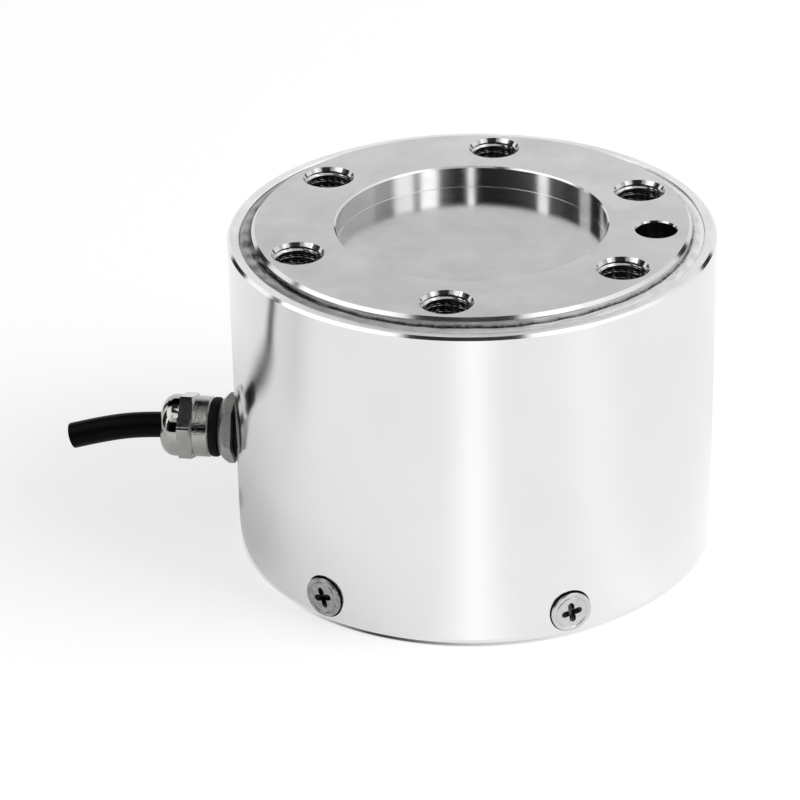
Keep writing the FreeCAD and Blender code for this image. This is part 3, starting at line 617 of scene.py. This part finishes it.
def gland_cap(finishes):
    """Dome nut: round skirt with a finish of its own, chamfered hexagon, barrel, and a dome that follows a quarter
    ellipse to the lip."""
    hex_r, hex_s = hexagon_rows(NUT_HEX_START, NUT_HEX_END, NUT_HEX_TURN, 2 * HEX_TURNED_R)
    bend = np.radians(np.arange(0, 91, 6))[:, None]
    dome_r = NUT_LIP_R + (HEX_FLAT - NUT_LIP_R) * np.cos(bend)
    dome_s = NUT_DOME_START + NUT_DOME * np.sin(bend)
    skin = gland_skin([
        (NUT_SKIRT_R, NUT_HEX_START),
        (hex_r, hex_s),
        (HEX_FLAT, NUT_HEX_END + NUT_STEP),
        (dome_r, dome_s),
        (NUT_MOUTH_R + NUT_LIP, NUT_END),
        (NUT_MOUTH_R, NUT_END - NUT_LIP),
        (NUT_MOUTH_R, NECK_END + NUT_SEAT),
        (NUT_BORE_R, NECK_END + 0.1),
        (NUT_BORE_R, NUT_START),
    ])
    skirt = np.array([
        (NUT_BORE_R, NUT_START),
        (NUT_SKIRT_R - NUT_EDGE, NUT_START),
        (NUT_SKIRT_R, NUT_START + NUT_EDGE),
        (NUT_SKIRT_R, NUT_HEX_START),
    ])
    skin.grid(gland_points(skirt[:, :1], skirt[:, 1:], GLAND_ANGLES), finish=1)
    return skin.piece("gland_cap", finishes, "nickel_plate", ["gland_dome_nut"], sharp=18)


def gland_washer(finishes):
    """Flat gasket with rounded edges, squeezed between the spot face and the hexagon."""
    bend = np.radians(np.arange(0, 181, 15))[:, None]
    half = (HEX_START - SPOT_FACE) / 2
    skin = gland_skin([
        (GLAND_HOLE_R, SPOT_FACE),
        (GASKET_R - half * 0.6 + half * 0.6 * np.sin(bend), SPOT_FACE + half - half * np.cos(bend)),
        (GLAND_HOLE_R, HEX_START),
        (GLAND_HOLE_R, SPOT_FACE),
    ])
    return skin.piece("gland_washer", finishes, "black_rubber", ["gland_gasket"])


def cable(finish):
    """Cable jacket: a round section along the smooth line of the route's points."""
    curve = bpy.data.curves.new("cable", "CURVE")
    curve.dimensions = "3D"
    curve.bevel_depth = CABLE_R * MM
    curve.bevel_resolution = 8
    curve.resolution_u = 16
    curve.use_fill_caps = True
    line = curve.splines.new("NURBS")
    line.points.add(len(CABLE_ROUTE) - 1)
    for point, (out, rise) in zip(line.points, CABLE_ROUTE):
        point.co = (-(SLEEVE_R + out) * MM, 0, (GLAND_Z + rise) * MM, 1)
    line.order_u = 3
    line.use_endpoint_u = True
    curve.materials.append(finish)
    made = placed("cable", curve)
    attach(made, "root")
    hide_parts("cable_jacket")
    return made


def cable_cut_end(finishes):
    """Face of the cut cable: a disc for the shield, and six cores round a filler, each a low dome over its place."""
    ends = np.array([(-(SLEEVE_R + out), 0, GLAND_Z + rise) for out, rise in CABLE_ROUTE[-2:]])
    out = (ends[1] - ends[0]) / np.linalg.norm(ends[1] - ends[0])
    aside = np.array([0.0, 1.0, 0.0])
    axes = np.stack([aside, np.cross(out, aside), out])
    angles = np.radians(np.arange(0, 361, 10))[None, :]
    skin = Skin()

    def disc(centre, radius, height, finish):
        share = np.array([0.0, 1.0, 1.0, 0.9, 0.0])[:, None]
        local = spun(radius * share, np.array([-0.3, -0.3, 0.6, 1.0, 1.0])[:, None] * height, angles) + centre
        skin.grid(local @ axes + ends[1], finish=finish)

    disc(np.zeros(3), CABLE_CORE_R, CORE_RISES[0], 0)
    for k in range(CORE_COUNT):
        around = math.radians(360 / CORE_COUNT * k + CORE_TURN)
        centre = CORE_CIRCLE_R * np.array([math.cos(around), math.sin(around), 0])
        disc(centre, CORE_R, CORE_RISES[1], 1 + k % 3)
        disc(centre, COPPER_R, CORE_RISES[2], 4)
    return skin.piece("cable_cut_end", finishes, "core_insulation", ["cable_core_pack"])


# Finishes


class Wire:
    """A socket of a node tree. Arithmetic on wires and numbers adds Math nodes."""

    def __init__(self, tree, socket=None):
        self.tree = tree
        self.socket = socket

    def node(self, kind, settings=None, sockets=None, output=0):
        """Adds a node of a kind with its settings, then the values or wires of its sockets."""
        made = self.tree.nodes.new("ShaderNode" + kind)
        for name, value in (settings or {}).items():
            setattr(made, name, value)
        for name, value in (sockets or {}).items():
            if isinstance(value, Wire):
                self.tree.links.new(value.socket, made.inputs[name])
            else:
                made.inputs[name].default_value = value
        return Wire(self.tree, made.outputs[output] if made.outputs else None)

    def math(self, operation, first, second):
        return self.node("Math", {"operation": operation}, {0: first, 1: second})

    def clamped(self, low=0.0):
        """The value, at least low and at most one."""
        return self.math("MINIMUM", self.math("MAXIMUM", self, low), 1.0)

    def __add__(self, other):
        return self.math("ADD", self, other)

    def __sub__(self, other):
        return self.math("SUBTRACT", self, other)

    def __rsub__(self, other):
        return self.math("SUBTRACT", other, self)

    def __mul__(self, other):
        return self.math("MULTIPLY", self, other)

    __radd__ = __add__
    __rmul__ = __mul__


def material(name, **sockets):
    """New material with a Principled shader whose sockets get these constants. Gives the material, a wire of its tree
    and a function that links a wire to a socket of the shader."""
    made = bpy.data.materials.new(name)
    made.use_nodes = True
    tree = made.node_tree
    shader = tree.nodes["Principled BSDF"]
    for socket, value in sockets.items():
        shader.inputs[socket.replace("_", " ")].default_value = value

    def link(socket, wire):
        tree.links.new(wire.socket, shader.inputs[socket])

    return made, Wire(tree), link


def blend_colours(tree, factor, first, second):
    """Colour between two, by a factor wire."""
    return tree.node("Mix", {"data_type": "RGBA"}, {0: factor, 6: (*first, 1), 7: (*second, 1)}, output=2)


def shades(tree, factor, shade, low, high):
    """Colour between a darker and a lighter shade of one colour."""
    return blend_colours(tree, factor, [c * low for c in shade], [c * high for c in shade])


def bumps(tree, strength, depth, height):
    """Normal of a height, up to a depth in metres."""
    return tree.node("Bump", sockets={"Strength": strength, "Distance": depth, "Height": height}, output="Normal")


def stretched_noise(tree, stretch, scale, detail=2.0):
    """Noise over the object's coordinates, in millimetres, stretched along the axes."""
    place = tree.node("TexCoord", output="Object")
    scaled = tree.node("VectorMath", {"operation": "MULTIPLY"}, {0: place, 1: [s / MM for s in stretch]})
    return tree.node("TexNoise", sockets={"Vector": scaled, "Scale": scale, "Detail": detail, "Roughness": 0.6})


def from_axis(tree):
    """Distance from the Z axis, in millimetres."""
    place = tree.node("TexCoord", output="Object")
    flat = tree.node("VectorMath", {"operation": "MULTIPLY"}, {0: place, 1: (1 / MM, 1 / MM, 0)})
    return tree.node("VectorMath", {"operation": "LENGTH"}, {0: flat}, output="Value")


def rings_noise(tree, scale):
    """Noise over the distance from the Z axis: the marks of facing on a lathe."""
    return tree.node("TexNoise", {"noise_dimensions": "1D"}, {"W": from_axis(tree), "Scale": scale, "Detail": 2.0})


def faced_steel(name, shade, rough, patch=0.09, spread=0.12, lean=0.0):
    """Satin face from a lathe: faint rings in roughness and height, soft patches in colour, and a slow rise in colour
    toward +X and -Y, painted light that brightens the face toward the key lamp's side."""
    made, tree, link = material(name, Metallic=1.0)
    rings = rings_noise(tree, 5.0)
    patches = stretched_noise(tree, (1, 1, 1), patch, 3.0)
    grain = stretched_noise(tree, (1, 1, 1), 6.0, 3.0)
    place = tree.node("TexCoord", output="Object")
    painted_light_slope = tree.node("VectorMath", {"operation": "DOT_PRODUCT"}, {0: place, 1: (lean / MM, -lean / MM, 0)}, "Value")
    light = (patches * 0.8 + rings * 0.2) * 2.6 - 0.8 + painted_light_slope
    link("Base Color", shades(tree, light, shade, 1 - spread, 1 + spread))
    link("Roughness", rings * 0.05 + grain * 0.04 + (rough - 0.045))
    link("Normal", bumps(tree, 0.12, 1e-5, rings * 0.7 + grain * 0.3))
    return made


def turned_steel(name, shade, rough, lines):
    """Fine-turned surface: hairlines that run round the part, in roughness and height, and soft cloudy patches."""
    made, tree, link = material(name, Metallic=1.0)
    hair = stretched_noise(tree, (0.03, 0.03, 1), lines, 3.0)
    broad = stretched_noise(tree, (0.05, 0.05, 1), lines * 0.15, 2.0)
    cloud = stretched_noise(tree, (1, 1, 1), 0.05, 2.0)
    link("Base Color", shades(tree, cloud, shade, 0.96, 1.03))
    link("Roughness", hair * 0.10 + cloud * 0.06 + (rough - 0.08))
    link("Normal", bumps(tree, 0.10, 1e-5, hair * 0.6 + broad * 0.4))
    return made


def plated(name, shade, rough, scale=1.1, bump=0.12, depth=5e-5):
    """Plating over machined brass: slight orange peel or a coarse grain, and dull spots."""
    made, tree, link = material(name, Metallic=1.0)
    peel = stretched_noise(tree, (1, 1, 1), scale, 2.0)
    spots = stretched_noise(tree, (1, 1, 1), 0.5, 4.0)
    link("Base Color", shades(tree, spots, shade, 0.8, 1.1))
    link("Roughness", spots * 0.06 + (rough - 0.03))
    link("Normal", bumps(tree, bump, depth, peel))
    return made


def dull(name, shade, rough, scale, spread=0.2, bump=0.1, **sockets):
    """Plastic, rubber, lacquer or film: colour and roughness vary a little with a fine grain."""
    made, tree, link = material(name, **sockets)
    grain = stretched_noise(tree, (1, 1, 1), scale, 3.0)
    link("Base Color", shades(tree, grain, shade, 1 - spread, 1 + spread))
    link("Roughness", grain * 0.16 + (rough - 0.08))
    link("Normal", bumps(tree, bump, 3e-5, grain))
    return made


def painted_light_bead_finish(name):
    """Glossy sealing compound: creases in its tone, painted light that makes it paler on the dowel's side, and painted
    shadow along the plate's edge, flecked, which fades out toward the dowel's side."""
    made, tree, link = material(name, Coat_Weight=0.6, Coat_Roughness=0.1)
    grain = stretched_noise(tree, (1, 1, 1), 1.7, 3.0)
    creases = stretched_noise(tree, (1, 1, 1), 0.45, 4.0)
    specks = stretched_noise(tree, (1, 1, 1), 1.4, 4.0)
    place = tree.node("SeparateXYZ", sockets={0: tree.node("TexCoord", output="Object")})
    # Painted light: paler toward +X, the key lamp's side. Painted shadow: dark along the plate's edge, fading toward
    # +X.
    lit_side_and_creases = place * (0.5 / (PLATE_R * MM)) + creases * 0.5 + 0.25
    shadow_fade = tree.math("MAXIMUM", place * (0.012 / MM), 0.0)
    out_of_painted_shadow = (from_axis(tree) - PLATE_R) * 1.6 + (specks * 1.7 - 1.22) + shadow_fade
    shade = (lit_side_and_creases.clamped() * 0.5 + 0.22) * out_of_painted_shadow.clamped(0.02)
    link("Base Color", blend_colours(tree, shade, (0, 0, 0), (1, 1, 0.985)))
    link("Roughness", grain * 0.16 + 0.17)
    link("Normal", bumps(tree, 0.6, 5e-5, grain))
    return made


# The plate's face leans lighter toward +X and -Y: painted light.
FACE_STEEL = faced_steel("faced_plate_steel", (0.71, 0.71, 0.715), 0.3, lean=0.004)
RECESS_STEEL = faced_steel("faced_recess_steel", (0.5, 0.5, 0.505), 0.17)
EDGE_STEEL = turned_steel("polished_edge_steel", (0.66, 0.66, 0.66), 0.12, 6.0)
# Painted shade inside the tapped and dowel holes.
HOLE_STEEL_PAINTED_SHADE = faced_steel("cut_thread_steel", (0.22, 0.22, 0.22), 0.2)
SLEEVE_STEEL = turned_steel("bright_sleeve_steel", (0.79, 0.79, 0.795), 0.11, 4.0)
RIM_STEEL = faced_steel("faced_rim_steel", (0.85, 0.85, 0.85), 0.24)
SCREW_STEEL = faced_steel("screw_steel", (0.6, 0.6, 0.6), 0.24, 0.4)
# Dark grey painted shade on the screws' sides and cross recesses.
SHADED_STEEL = faced_steel("shaded_screw_side", (0.1, 0.1, 0.1), 0.4)
# Patchy screw steel, darkened with painted shade.
PATCHY_SCREW_STEEL_PAINTED_SHADE = faced_steel("dull_screw_steel", (0.34, 0.34, 0.335), 0.26, 0.7, 0.35)
# Black painted shadow for the sleeve's screw holes and for one screw's gap and cross recess.
GAP_STEEL_PAINTED_SHADOW = faced_steel("blackened_screw_side", (0.035, 0.035, 0.035), 0.4)
NICKEL = plated("nickel_plate", (0.44, 0.435, 0.42), 0.08)
SATIN_NICKEL = plated("satin_nickel_plate", (0.55, 0.545, 0.53), 0.3, 3.2, 1.0, 1e-4)
GRAINED_NICKEL = plated("grained_nickel_plate", (0.44, 0.435, 0.42), 0.12, 3.2, 0.6, 1e-4)
# Near-black nickel: painted shade on the hexagon's chamfer at the wall.
NICKEL_PAINTED_SHADE = plated("tarnished_nickel_plate", (0.05, 0.05, 0.048), 0.35)
# Seal bead with painted light on the dowel's side and painted shadow along the plate's edge.
BEAD_PAINTED_LIGHT_AND_SHADOW = painted_light_bead_finish("pale_seal_bead")
RUBBER = dull("black_rubber", (0.006, 0.006, 0.006), 0.6, 3.0, Specular_IOR_Level=0.12)
JACKET = dull("black_cable_jacket", (0.002, 0.002, 0.002), 0.4, 4.0, Specular_IOR_Level=0.06)
SHIELD = dull("shield_braid", (0.5, 0.32, 0.2), 0.35, 9.0, bump=0.5, Metallic=1.0)
COPPER = dull("core_copper", (0.72, 0.38, 0.22), 0.3, 9.0, Metallic=1.0)
CORES = [dull("core_" + colour, shade, 0.4, 5.0) for colour, shade in (
    ("red", (0.5, 0.03, 0.02)), ("green", (0.03, 0.25, 0.06)), ("white", (0.7, 0.7, 0.68)))]
NODE_FINISH = {
    "base_sealing_ring": RUBBER,
    "strain_gauges": dull("gauge_film", (0.55, 0.3, 0.08), 0.35, 3.0),
    "gauge_leads": dull("lead_sleeving", (0.7, 0.66, 0.58), 0.6, 8.0),
    "terminal_board": dull("board_lacquer", (0.03, 0.17, 0.07), 0.35, 1.5),
    "board_standoffs": dull("turned_brass", (0.72, 0.5, 0.2), 0.28, 6.0, Metallic=1.0),
    "board_screws": SCREW_STEEL,
    "terminal_posts": dull("tinned_posts", (0.7, 0.68, 0.64), 0.3, 6.0, Metallic=1.0),
    "trim_resistors": dull("resistor_glaze", (0.03, 0.03, 0.035), 0.3, 4.0),
    "core_wires": CORES[0],
    "gland_lock_nut": NICKEL,
    "gland_seal": RUBBER,
    "gland_claw": dull("claw_plastic", (0.06, 0.06, 0.06), 0.5, 4.0),
}

for node, finish in NODE_FINISH.items():
    frame["nodes"][node].data.materials.clear()
    frame["nodes"][node].data.materials.append(finish)

load_plate([FACE_STEEL, HOLE_STEEL_PAINTED_SHADE, EDGE_STEEL, RECESS_STEEL])
base_flange([FACE_STEEL, HOLE_STEEL_PAINTED_SHADE, EDGE_STEEL, RECESS_STEEL])
spring_columns([EDGE_STEEL])
bright_sleeve([SLEEVE_STEEL, RIM_STEEL, GAP_STEEL_PAINTED_SHADOW])
cross_screws([SCREW_STEEL, SHADED_STEEL, PATCHY_SCREW_STEEL_PAINTED_SHADE, GAP_STEEL_PAINTED_SHADOW])
seal_bead([BEAD_PAINTED_LIGHT_AND_SHADOW])
gland_hexagon([SATIN_NICKEL, NICKEL_PAINTED_SHADE])
gland_cap([NICKEL, GRAINED_NICKEL])
gland_washer([RUBBER])
lead = cable(JACKET)
cut_end = cable_cut_end([SHIELD, *CORES, COPPER])
-NUT_END * MM


# Camera: a pinhole whose angles, distance and focal length were fitted to the photograph's outlines

ELEVATION = math.radians(27.127)
AZIMUTH = math.radians(7.64)
ROLL = math.radians(0.642)
DISTANCE = 0.6525
TARGET = Vector((0, 0, 0.03315))
TARGET_PIXEL = (473.41, 371.48)
FRAME_PIXELS = 800
FOCAL_PIXELS = 3471.67
SENSOR = 36.0

right = Vector((math.cos(AZIMUTH), math.sin(AZIMUTH), 0))
level = math.cos(ELEVATION)
ahead = Vector((-math.sin(AZIMUTH) * level, math.cos(AZIMUTH) * level, -math.sin(ELEVATION)))
place = TARGET - DISTANCE * ahead
up = right.cross(ahead)
aside = TARGET_PIXEL[0] - FRAME_PIXELS / 2
below = TARGET_PIXEL[1] - FRAME_PIXELS / 2
pan = Matrix.Rotation(math.atan2(aside, FOCAL_PIXELS), 3, up)
right, ahead = pan @ right, pan @ ahead
tilt = Matrix.Rotation(math.atan2(below, math.hypot(FOCAL_PIXELS, aside)), 3, right)
up, ahead = tilt @ up, tilt @ ahead
spin = Matrix.Rotation(ROLL, 3, ahead)
right, up = spin @ right, spin @ up

camera = placed("camera", bpy.data.cameras.new("camera"))
camera.data.sensor_width = SENSOR
camera.data.lens = SENSOR * FOCAL_PIXELS / FRAME_PIXELS
camera.matrix_world = Matrix.Translation(place) @ Matrix((right, up, -ahead)).transposed().to_4x4()
bpy.context.scene.camera = camera


# Studio

FLOOR_REACH = 4.0
SKY_LIGHT = 0.48
SCREEN_R = 0.8
LOW_SCREEN = (
    (-180, 1.0), (-147, 1.0), (-145, 0.02), (-126, 0.02), (-124, 1.2), (-110, 1.2), (-108, 0.02), (-89, 0.02),
    (-86, 0.1), (-72, 0.12), (-70.5, 2.6), (-61.5, 2.6), (-60, 0.1), (-46, 0.03), (-36, 0.0), (-3.4, 0.0),
    (-2.2, 3.0), (2.2, 3.0), (3.4, 0.02), (14, 0.03), (27, 0.3), (31, 3.0), (44, 3.0), (45.5, 0.6),
    (51, 0.6), (53, 2.2), (68, 2.0), (74, 0.3), (92, 0.6), (96, 1.0), (150, 1.0), (180, 1.0))
HORIZON_SCREEN = (
    (-180, 1.0), (-139, 1.0), (-137, 0.02), (-126, 0.02), (-124, 1.0), (-110, 1.0), (-108, 0.02), (-89, 0.02),
    (-72, 0.12), (-70.5, 1.0), (-61.5, 1.0), (-60, 0.1), (-46, 0.03), (-36, 0.0), (-3.4, 0.0), (3.4, 0.02), (14, 0.03),
    (27, 0.3), (31, 1.0), (68, 1.0), (74, 0.3), (92, 0.6), (96, 1.0), (125, 1.0), (127, 0.0), (136, 0.0), (138, 1.0),
    (180, 1.0))
MID_SCREEN = (
    (-180, 0.0), (-120, 0.0), (-108, 1.6), (-60, 1.7), (-40, 1.3), (-26, 0.5), (-14, 0.45), (-10, 0.02), (36, 0.02),
    (42, 0.7), (60, 1.1), (135, 1.1), (150, 0.0), (180, 0.0))
HIGH_SCREEN = (
    (-180, 0.0), (-120, 0.0), (-108, 1.6), (-60, 1.7), (-46, 1.2), (-40, 0.02), (30, 0.02), (36, 1.2), (50, 1.7),
    (135, 1.6), (150, 0.0), (180, 0.0))
CEILING_LEVEL = 0.6
CEILING_GAP = (-0.27, 0.07, 0.06)
CEILING_DARK = 0.03
FLOOR_COLOUR = (0.42, 0.42, 0.42, 1)
FLOOR_LIFT = 0.65
# Painted shadow on the floor under the foot's edge: its level there, and bells of (angle, spread, change of level).
FOOT_LEVEL = 0.76
FOOT_INSET = 0.5
FOOT_BLUR = 0.2
FOOT_SHADES = ((-23, 20, -0.75), (10, 22, -0.25), (180, 70, -0.5), (-180, 70, -0.5))
GLOWS = ((0, 7.5, 0.21), (46, 11, 0.08))
# Painted shadow on the floor, seen only in reflections: the wash's table, the dark stripe and the spot under the gland.
WASH_ANGLES = (-250, -190, -145, -120, -100, -78, -68, -60, -40, -20, 0)
WASH = (
    (48, (0.0, 0.3, 0.42, 0.42, 0.4, 0.36, 0.26, 0.17, 0.13, 0.06, 0.0)),
    (75, (0.0, 0.3, 0.32, 0.2, 0.15, 0.08, 0.06, 0.05, 0.03, 0.0, 0.0)),
    (105, (0.0, 0.1, 0.1, 0.08, 0.08, 0.1, 0.05, 0.02, 0.0, 0.0, 0.0)),
    (125, (0.0, 0.02, 0.02, 0.02, 0.05, 0.22, 0.04, 0.0, 0.0, 0.0, 0.0)),
    (400, (0.0, 0.02, 0.02, 0.02, 0.05, 0.22, 0.04, 0.0, 0.0, 0.0, 0.0)))
PAINTED_SHADOW_STRIPE = (
    (62, -113.5, 3.0, 0.0), (69, -114.0, 3.5, 0.9), (77, -114.0, 4.0, 0.97), (87, -112.8, 4.4, 0.98),
    (96, -110.5, 4.8, 0.98), (104, -106.4, 5.2, 0.96), (112, -101.6, 6.0, 0.9), (119, -99.0, 6.4, 0.82),
    (127, -96.2, 5.2, 0.8), (136, -95.0, 3.2, 0.9), (145, -94.8, 2.6, 0.96), (154, -93.8, 2.5, 0.97),
    (165, -93.4, 2.5, 0.97), (200, -93.4, 2.5, 0.0))
GLAND_SHADE = (50, -102, 7, 10, 0.62)


def sheet(name, points, finish):
    """Sheet of the studio from a grid of points [rows, columns, 3]."""
    mesh = bpy.data.meshes.new(name)
    mesh.from_pydata(points.reshape(-1, 3), [], grid_quads(*points.shape[:2]))
    mesh.materials.append(finish)
    made = placed(name, mesh)
    return made


def shown_rays(tree):
    """One for what the camera sees, straight on, mirrored or through glass, and none for light that is scattered."""
    rays = [tree.node("LightPath", output=name) for name in ("Is Camera Ray", "Is Glossy Ray", "Is Transmission Ray")]
    return tree.math("MAXIMUM", rays[0], tree.math("MAXIMUM", rays[1], rays[2]))


def bare_finish(name):
    """New material without nodes, and a wire of its tree."""
    made = bpy.data.materials.new(name)
    made.use_nodes = True
    made.node_tree.nodes.clear()
    return made, Wire(made.node_tree)


def turn_round(tree):
    """Angle round the Z axis from the camera's side, to the right, from -1 at the back over 0 to 1."""
    place = tree.node("TexCoord", output="Object")
    turned_place = tree.node("VectorRotate", {"rotation_type": "Z_AXIS"}, {"Vector": place, "Angle": -AZIMUTH})
    x, y = [tree.node("SeparateXYZ", sockets={0: turned_place}, output=axis) for axis in (0, 1)]
    return tree.math("ARCTAN2", x, y * -1.0) * (1 / math.pi)


def bell(tree, at, spread):
    """Bell curve of the angle from the camera's side."""
    aside = (turn_round(tree) * 180.0 - at) * (1 / spread)
    return tree.math("EXPONENT", aside * aside * -1.0, 0.0)


def floor_finish():
    """White floor that takes the object's shadow, lifted to full white where it is seen, with painted shadow under the
    foot's edge, deepest in front, and clear from below."""
    made, tree = bare_finish("white_floor")
    cloth = tree.node("BsdfDiffuse", sockets={"Color": FLOOR_COLOUR})
    place = tree.node("TexCoord", output="Object")
    away = tree.node("VectorMath", {"operation": "LENGTH"}, {0: place}, output="Value")
    clear_of_foot = ((away - (SLEEVE_R - FOOT_INSET) * MM) * (1 / (FOOT_BLUR * MM))).clamped()
    under = sum(bell(tree, at, spread) * level for at, spread, level in FOOT_SHADES) + FOOT_LEVEL
    level = under + clear_of_foot * (under * -1.0 + FLOOR_LIFT)
    lift = tree.node("Emission", sockets={"Color": shown_rays(tree) * level, "Strength": 1.0})
    lit = tree.node("AddShader", sockets={0: cloth, 1: lift})
    back = tree.node("NewGeometry", output="Backfacing")
    clear = tree.node("BsdfTransparent")
    sided = tree.node("MixShader", sockets={0: back, 1: lit, 2: clear})
    tree.node("OutputMaterial", sockets={"Surface": sided})
    return made


def reflected_only(name, points, finish, shade=None):
    """Sheet of the studio that is seen only in reflections. The points' shade goes into the mesh for its finish."""
    made = sheet(name, points, finish)
    if shade is not None:
        kept = made.data.attributes.new("shade", "FLOAT", "POINT")
        kept.data.foreach_set("value", shade.ravel().astype(np.float32))
    made.visible_camera = False
    made.visible_diffuse = False
    made.visible_shadow = False
    return made


def glow_finish(name):
    """Glow by the shade in the mesh."""
    made, tree = bare_finish(name)
    shade = tree.node("Attribute", {"attribute_name": "shade"}, output="Fac")
    tree.node("OutputMaterial", sockets={"Surface": tree.node("Emission", sockets={"Color": shade, "Strength": 1.0})})
    return made


def dome_band(low, high, degrees):
    """Band of a dome about the object between two elevations, at angles from the camera's side."""
    lift = np.radians(np.linspace(low, high, 1 + math.ceil(high - low)))[:, None]
    around = AZIMUTH - math.pi / 2 + np.radians(degrees)[None, :]
    return SCREEN_R * spun(np.cos(lift), np.sin(lift), around)


def screen(name, low, high, levels):
    """Lit band of the dome. Its glow follows a list of (angle from the camera's side, level)."""
    degrees = np.arange(-180, 180.1, 0.5)
    dome = dome_band(low, high, degrees)
    shade = np.broadcast_to(np.interp(degrees, *np.array(levels).T), dome.shape[:2])
    return reflected_only(name, dome, glow_finish(name), shade)


def ceiling():
    """Lit top of the dome with a dark gap along Y, a little to the gland's side: the glow rises with the distance from
    the gap's middle."""
    dome = dome_band(65, 89.9, np.arange(-180, 181, 2.0))
    aside = np.abs(dome[..., 0] / SCREEN_R - CEILING_GAP[0])
    shade = CEILING_DARK + CEILING_LEVEL * np.clip((aside - CEILING_GAP[1]) / CEILING_GAP[2], 0, 1)
    return reflected_only("ceiling", dome, glow_finish("ceiling"), shade)


def shade_finish(name):
    """Black by the shade in the mesh, and clear elsewhere."""
    made, tree = bare_finish(name)
    shade = tree.node("Attribute", {"attribute_name": "shade"}, output="Fac")
    clear = tree.node("BsdfTransparent")
    dark = tree.node("Emission", sockets={"Strength": 0.01})
    tree.node("OutputMaterial", sockets={"Surface": tree.node("MixShader", sockets={0: shade, 1: clear, 2: dark})})
    return made


def left_wash():
    """Grey wash over the floor at the left, seen only in reflections: painted shadow of the floor, mirrored in the
    sleeve. Its shade follows a table of (distance, shade at each angle from the camera's side), a dark stripe of
    painted shadow, which at each distance is a bell curve of the angle with the centre, spread and depth of a list, and
    a spot of painted shadow under the gland, a bell curve of both."""
    degrees = np.arange(WASH_ANGLES[0], WASH_ANGLES[-1] + 1, 1.0)[None, :]
    away = np.append(np.arange(46, 206, 3.0), 400.0)[:, None]
    rows = np.concatenate([np.interp(degrees, WASH_ANGLES, shades) for _, shades in WASH])
    place = np.interp(away[:, 0], [reach for reach, _ in WASH], np.arange(len(WASH)))
    low = np.minimum(place.astype(int), len(WASH) - 2)
    shade = rows[low] + (rows[low + 1] - rows[low]) * (place - low)[:, None]
    reach, *stripe = np.array(PAINTED_SHADOW_STRIPE).T
    centre, spread, depth = [np.interp(away, reach, values) for values in stripe]
    shade = np.maximum(shade, depth * np.exp(-((degrees - centre) / spread) ** 2))
    spot_r, spot_at, length, width, depth = GLAND_SHADE
    spot = depth * np.exp(-((away - spot_r) / length) ** 2 - ((degrees - spot_at) / width) ** 2)
    shade = np.maximum(shade, spot)
    around = AZIMUTH - math.pi / 2 + np.radians(degrees)
    return reflected_only("left_wash", spun(away, 0.4, around) * MM, shade_finish("left_wash"), shade)


def front_glow():
    """Glow added to the floor toward the camera: a sum of bell curves of the angle."""
    made, tree = bare_finish("front_glow")
    bells = sum(bell(tree, at, spread) * level for at, spread, level in GLOWS)
    glow = tree.node("Emission", sockets={"Color": bells, "Strength": 1.0})
    clear = tree.node("BsdfTransparent")
    tree.node("OutputMaterial", sockets={"Surface": tree.node("AddShader", sockets={0: clear, 1: glow})})
    around = AZIMUTH - math.pi / 2 + np.radians(np.linspace(-40, 80, 31))
    reach = np.array([[0.047], [0.32]])
    return reflected_only("front_glow", spun(reach, 0.0003, around[None, :]), made)


def lamp(name, azimuth, elevation, distance, size, power):
    """Soft box that faces the object from a direction counted from the camera's."""
    light = bpy.data.lights.new(name, "AREA")
    light.shape = "SQUARE"
    light.size = size
    light.energy = power
    turn = AZIMUTH + math.radians(azimuth)
    lift = math.radians(elevation)
    out = Vector((math.sin(turn) * math.cos(lift), -math.cos(turn) * math.cos(lift), math.sin(lift)))
    made = placed(name, light)
    made.location = TARGET + distance * out
    made.rotation_mode = "QUATERNION"
    made.rotation_quaternion = (-out).to_track_quat("-Z", "Y")
    return made


corners = [[(-1, -1, 0), (1, -1, 0)], [(-1, 1, 0), (1, 1, 0)]]
sheet("floor", FLOOR_REACH * np.array(corners), floor_finish())
for name, low, high, levels in (
    ("horizon_screen", 1, 21, HORIZON_SCREEN),
    ("low_screen", 21, 36, LOW_SCREEN),
    ("mid_screen", 36, 53, MID_SCREEN),
    ("high_screen", 53, 65, HIGH_SCREEN),
):
    screen(name, low, high, levels)
ceiling()
left_wash()
front_glow()
lamp("key", 72, 40, 2.0, 1.2, 27)

world = bpy.data.worlds.new("studio")
bpy.context.scene.world = world
world.use_nodes = True
world.node_tree.nodes.clear()
sky = Wire(world.node_tree)
strength = shown_rays(sky) * (1 - SKY_LIGHT) + SKY_LIGHT
glow = sky.node("Background", sockets={"Color": (1, 1, 1, 1), "Strength": strength})
sky.node("OutputWorld", sockets={"Surface": glow})

bpy.context.scene.view_settings.view_transform = "Standard"
